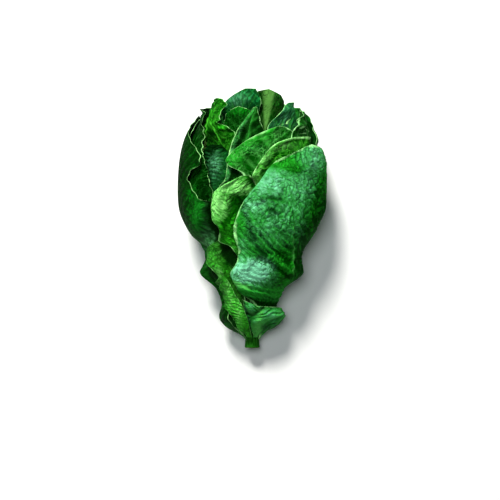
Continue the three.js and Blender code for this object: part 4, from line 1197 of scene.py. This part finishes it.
grow_leaf(
    "leaf_oval_tip", green_leaf, "green_leaf",
    grid=(120, 90), rib=(2, 1.2), ruffle=(0.3, 3, 0), cell=2.4, pucker=0.55, net=0.5, line=2.6,
    tone=-0.05, bloom=0, pale=(0.6, 0.3),
    patches=[
        (-10, 113, 3.5, 4.5, 0.1, 0), (4, 104, 8, 4, -0.5, 0), (12, 117, 9, 3, -0.1, 0),
        (0, 119, 6, 2, 0.2, 0.1),
    ],
    inset=[(0, 4), (0.5, 4), (1, 2.6)],
    rows=seen(
        76, 20, 6,
        left=[(-3, 34), (-7, 52), (-9, 72), (-7, 88), (-4, 98), (-6.5, 105), (-13.8, 109.5), (-13.2, 114.6),
            (-4.2, 123), (6, 129), (14, 132.4)],
        spine=[(1, 34), (0, 52), (0, 72), (2, 88), (4, 99), (6, 107), (8, 114), (10, 120), (13, 125.5),
            (16, 129.5), (18, 132.8)],
        right=[(7, 34), (11, 52), (16, 72), (21, 88), (25, 102), (28, 113), (30, 120), (31, 125), (30, 128),
            (26, 130.5), (22, 132.4)],
    ),
)

grow_leaf(
    "leaf_folded_margin", deep_green_leaf, "deep_green_leaf",
    rib=(2.2, 1.3), ruffle=(0.3, 3, 0), line=2, tone=-0.8, bloom=0,
    inset=[(0, 3.5), (0.5, 4), (1, 4.5)],
    folds=[(LEFT, 0.5, 0.97, 1.6, 4.5, True)], roll_tone=(1.3, 0.7), dip=0.7,
    rows=seen(
        150, 13, 5.5,
        left=[(-13, 28), (-16, 46), (-19, 64), (-21, 82), (-21, 94.5), (-17, 101), (-15.5, 110),
            (-13.5, 120), (-9.5, 128.5), (-4, 137), (0.6, 143.4)],
        spine=[(-9, 28), (-9, 46), (-9, 64), (-8, 82), (-7, 97), (-6, 107), (-5, 116), (-3.5, 124),
            (-2, 131.5), (0, 138.2), (1.8, 144)],
        right=[(-5, 30), (-2, 48), (0, 66), (2, 84), (5, 100), (8, 114), (9, 122), (8, 129), (6, 134),
            (4, 139.4), (3, 143.6)],
    ),
)

grow_leaf(
    "leaf_left_inner", deep_green_leaf, "deep_green_leaf",
    rib=(2.2, 1.3), ruffle=(1, 5, 1.2), frill=(0.8, 5), pucker=0.7, line=0.75,
    tone=-0.85, bloom=0, pale=(0.6, 0.2), net=0.15, patches=[(-34, 95, 3.5, 8, 0.7, 0)],
    inset=[(0, 3), (0.3, 4.2), (0.5, 3.2), (1, 1.6)],
    rows=seen(
        195, 13, 5.5,
        left=[(-27, 28), (-46, 48), (-54, 66), (-60, 84), (-62, 100), (-58, 112), (-50, 122), (-45, 130),
            (-41.5, 136), (-37.5, 141.6), (-33.5, 144.4)],
        spine=[(-20, 28), (-32, 48), (-36, 66), (-40, 84), (-40, 100), (-38, 112), (-37, 122), (-36, 131),
            (-34, 137.5), (-32, 143.4), (-30.6, 145.6)],
        right=[(-15, 28), (-20, 48), (-22, 66), (-25, 84), (-26.5, 98), (-26, 110), (-27, 120),
            (-26.5, 129), (-26.5, 136), (-26.5, 141.6), (-27.5, 144.2)],
    ),
)

grow_leaf(
    "leaf_blue_back", blue_green_leaf, "blue_green_leaf",
    grid=(190, 60), rib=(2, 1.2), ruffle=(0.3, 3, 0), puff=1, veins=(0.15, 2.6), pillow=0.5, pucker=0.2,
    tone=-0.2, bloom=0, pale=(0.2, 0), bare=[(-21, 120, 9, 8)],
    wrinkles=[(-22, 104, 7, 14, 0.35, 2, 0.15)],
    # Its patches paint the black shadow above its tip, a highlight down its middle and shade along its left
    # side.
    patches=[(-21, 122, 8, 4.5, -2, 0), (-22, 110, 3.2, 7, 0.3, 0.6), (-26.5, 104, 2.4, 20, -1, 0)],
    inset=[(0, 5), (0.5, 5), (1, 5)],
    rows=seen(
        176, 20, 10.5,
        left=[(-20, 36), (-26, 56), (-29, 76), (-28, 92), (-28, 102), (-28, 110), (-26, 117), (-23.5, 121)],
        spine=[(-15, 36), (-18, 56), (-20.5, 76), (-21, 92), (-21.5, 104), (-21, 112), (-20.5, 119),
            (-20.5, 122)],
        right=[(-10, 36), (-9, 56), (-10, 76), (-12, 92), (-12.5, 104), (-13, 113), (-15, 119),
            (-17, 121.6)],
    ),
)

# ---- Under leaves ----
# Two leaves a layer further in at the back, covered by the outer ones but for their tips: thin dark blades
# that clasp the stem above the outer leaves' bases.
grow_leaf(
    "leaf_under_right", deep_green_leaf, "deep_green_leaf",
    grid=(70, 45),
    inset=[(0, 3), (0.5, 3), (1, 2.5)],
    rows=plain(285, 14, 13, 150, 32),
)

grow_leaf(
    "leaf_under_left", deep_green_leaf, "deep_green_leaf",
    grid=(70, 45),
    inset=[(0, 3), (0.5, 3), (1, 2.5)],
    rows=plain(240, 2, 13, 151, 32),
)

# ---- Upper leaves ----
# The younger leaves that stand up inside the head and show at its top: crisp, ruffled blades, one of them
# with a broad pale midrib. They clasp the stem at its middle and above.
grow_leaf(
    "leaf_upper_right", blue_green_leaf, "blue_green_leaf",
    grid=(100, 70), rib=(2, 1.2), ruffle=(0.6, 4, 1), pucker=0.6, tone=-0.05, net=0.4,
    patches=[(19.5, 141.5, 3.6, 5, 0.45, 0.35), (28, 139, 5, 5, 0.3, 0), (24, 129, 9, 4, -0.8, 0)],
    curls=[[(16, 133.5), (20, 135)], [(20, 135), (23, 133.4)], [(20, 135), (22.4, 138)]],
    inset=[(0, 6), (0.2, 10), (0.5, 7.5), (1, 6.5)],
    rows=seen(
        32, 20, 7.5,
        left=[(9, 44), (9, 72), (10, 96), (10, 114), (10.5, 126), (10.5, 133), (15, 139), (18.6, 144),
            (22.5, 147.8)],
        spine=[(15, 44), (19, 72), (22, 96), (24, 114), (25, 127), (26, 134), (27, 140), (27, 145.5),
            (26.5, 149)],
        right=[(20, 44), (28, 72), (34, 96), (37, 114), (37, 126), (36.5, 133), (35.5, 138.5), (33.5, 144),
            (30.5, 147.4)],
    ),
)

grow_leaf(
    "leaf_upper_left", lime_leaf, "lime_leaf",
    grid=(120, 90), rib=(2, 1.2), ruffle=(1, 6, 1), frill=(1.1, 4), teeth=1.2, pucker=0.9, cell=2.2,
    tone=-0.6, bloom=0, pale=(0.6, 0), net=0.3,
    patches=[
        (-19, 132, 3, 3.5, 0.7, 0), (-14, 130, 3.5, 2, 0.6, 0), (-24.5, 127, 3, 5, -0.9, 0),
        (-24, 142, 3, 3, 0.3, 0),
    ],
    stripes=[([(-26.4, 139), (-18.5, 124)], (0.4, 0.45)), ([(-26.4, 139), (-27.5, 125)], (0.4, 0.45))],
    inset=[(0, 6), (0.5, 6.5), (1, 7)],
    rows=seen(
        126, 22, 9,
        left=[(-12.5, 32), (-17, 46), (-24, 72), (-28, 96), (-29, 114), (-28.5, 122), (-28.5, 130),
            (-28.5, 136), (-28.5, 141), (-27.5, 145.3), (-24.5, 149)],
        spine=[(-9, 32), (-11, 46), (-14, 72), (-17, 96), (-19, 114), (-20, 124), (-21, 131), (-22, 136.5),
            (-22.5, 141.5), (-21.5, 147), (-20.5, 150.6)],
        right=[(-5.8, 32), (-5.5, 46), (-4, 72), (-5, 96), (-7, 114), (-9.5, 126), (-13.5, 132),
            (-18.8, 135.5), (-17.5, 141), (-15, 145.5), (-16.5, 149.3)],
    ),
)

grow_leaf(
    "leaf_top_back_right", deep_green_leaf, "deep_green_leaf",
    grid=(70, 50),
    inset=[(0, 6), (0.5, 6), (1, 5)],
    rows=plain(314, 8, 20, 151, 28),
)

grow_leaf(
    "leaf_top_middle", deep_green_leaf, "deep_green_leaf",
    rib=(1.8, 1), ruffle=(0.8, 4, 0), pucker=0.9, cell=2, line=0.4, tone=-0.1, bloom=0, pale=(0.2, 0.1),
    inset=[(0, 8), (0.5, 9), (1, 11)],
    rows=seen(
        89, 30, 11,
        left=[(-5, 40), (-14, 62), (-20, 96), (-22, 122), (-21, 131), (-18.5, 138.5), (-14.5, 143)],
        spine=[(-2, 40), (-5, 62), (-7, 96), (-8, 122), (-8, 132), (-8.5, 140.5), (-9, 145)],
        right=[(2, 40), (4, 62), (6, 96), (7, 122), (6, 132), (3, 139.5), (-3.5, 143.5)],
    ),
)

grow_leaf(
    "leaf_top_back", blue_green_leaf, "blue_green_leaf",
    rib=(2, 1.2), ruffle=(0.5, 4, 0), pucker=0.3, line=0.6, tone=-0.4, bloom=0, pale=(0.3, 0.2),
    patches=[(-9.5, 150, 6, 3.4, 0.1, 0.45), (-1, 150, 4, 8, -0.5, 0)],
    creases=[([(-6, 155), (3, 145)], 0.5, -0.3, -0.8), ([(-2, 156), (5, 149)], 0.4, -0.3, -0.6)],
    inset=[(0, 9), (0.5, 12), (1, 14)],
    rows=seen(
        140, 35, 14,
        left=[(-12, 41), (-14, 62), (-18, 96), (-20, 122), (-20, 138), (-18.6, 148), (-13, 153)],
        spine=[(-9, 41), (-8, 62), (-8.5, 96), (-9, 122), (-8.5, 138), (-7, 149.6), (-5, 156.4)],
        right=[(-5.5, 41), (-2, 62), (1, 96), (2, 122), (4, 138), (6, 149), (3, 156.2)],
    ),
)

pale_rib_leaf = leaf_material(
    "pale_rib_leaf", (0.0, 0.025, 0.0), (0.01, 0.17, 0.01), rib=(0.075, 0.23, 0.04), margin=(0.2, 0.5, 0.15),
)
grow_leaf(
    "leaf_pale_rib", pale_rib_leaf, "lime_leaf",
    rib=(4.2, 1.4), ruffle=(0.6, 4, 1), line=0.6, tone=-0.3, bloom=0, pale=(0.3, 0),
    stripes=[([(10.5, 158), (7.4, 131)], (4.4, 0.7))],
    inset=[(0, 8), (0.5, 10), (1, 12)],
    rows=seen(
        48, 31, 13,
        left=[(5, 40), (-2, 60), (-4, 96), (-4, 122), (-2, 134), (0, 146), (5, 154.8)],
        spine=[(9, 40), (6, 60), (8, 96), (8, 122), (8, 134), (9.5, 147), (11, 156)],
        right=[(13, 40), (14, 60), (20, 96), (22, 122), (22, 136), (22.5, 146.5), (19, 152.8)],
    ),
)

# ---- Heart ----
# The small pale leaves round the heart, and the heart itself: a bud of young leaves folded so tight round
# each other on the stem's tip that they are one body. Thin, crisp and yellow, for little light reaches them.
heart_leaf = leaf_material("heart_leaf", (0.12, 0.34, 0.03), (0.42, 0.66, 0.15))

grow_leaf(
    "leaf_heart_left", heart_leaf, "heart_leaf",
    rib=(1.8, 1), grid=(50, 36),
    inset=[(0, 10), (0.15, 15), (0.5, 12), (1, 11)],
    rows=plain(200, 10, 28, 132, 20),
)

grow_leaf(
    "leaf_heart_right", heart_leaf, "heart_leaf",
    rib=(1.8, 1), grid=(50, 36),
    inset=[(0, 9), (0.5, 10), (1, 11)],
    rows=plain(310, 20, 28, 138, 20),
)

HEART_RADIUS = [
    (42.8, 3), (47, 6.5), (60, 13), (78, 20), (98, 24), (114, 23), (127, 17.5), (134, 11), (137, 4),
]
HEART_SIDES = 144
HEART_RINGS = 91
FOLDS = 3  # blades that wind round the bud
WINDING_RISE = 14  # how far up their margins climb with each radian of their winding, mm


def make_heart():
    base, tip = HEART_RADIUS[0][0], HEART_RADIUS[-1][0]
    shares = np.arange(HEART_RINGS) / (HEART_RINGS - 1)
    height = mix(base, tip, mix(shares, smooth(0, 1, shares), 0.6))
    height, turn = np.meshgrid(height, np.arange(HEART_SIDES) * 2 * math.pi / HEART_SIDES, indexing="ij")
    winding = turn * FOLDS + height / WINDING_RISE
    fold = 1 + 0.07 * np.sin(winding + 0.6 * np.sin(winding))
    wanted = inset_at(turn, height, through(HEART_RADIUS, height) * fold)
    depth = soft_max(wanted, limit_at(turn, height) + CLEARANCE + 0.4, 1)
    # Each folded margin is a small step, and the blades between them are puckered.
    step = np.mod(winding / (2 * math.pi), 1)
    puckers = pucker_at(turn * 7, height / 3.2)
    depth = depth + 0.7 * smooth(0.93, 1, step) * step - 0.3 * puckers + 0.3
    corners = place(turn, height, depth).reshape(-1, 3)
    ends = np.array([corners[:HEART_SIDES].mean(0), corners[-HEART_SIDES:].mean(0)])
    plan = np.stack([turn * 20, height, 0 * turn], -1).reshape(-1, 3)
    marks = {"plan": np.concatenate([plan, ends])}
    margin = np.minimum(step, 1 - step) * 12 + 0.2
    given = {"rib": 0, "vein": 0, "edge": margin, "pucker": puckers, "tone": 0.1, "bloom": 0, "net": 0.2}
    for name, values in given.items():
        marks[name] = np.concatenate([np.broadcast_to(values, turn.shape).ravel(), [0, 0]])
    corners = np.concatenate([corners, ends])
    return make_piece("heart_bud", corners, *round_faces(HEART_RINGS, HEART_SIDES), marks)


heart = make_heart()
heart.data.materials.append(heart_leaf)
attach(heart, "root")
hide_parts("heart")
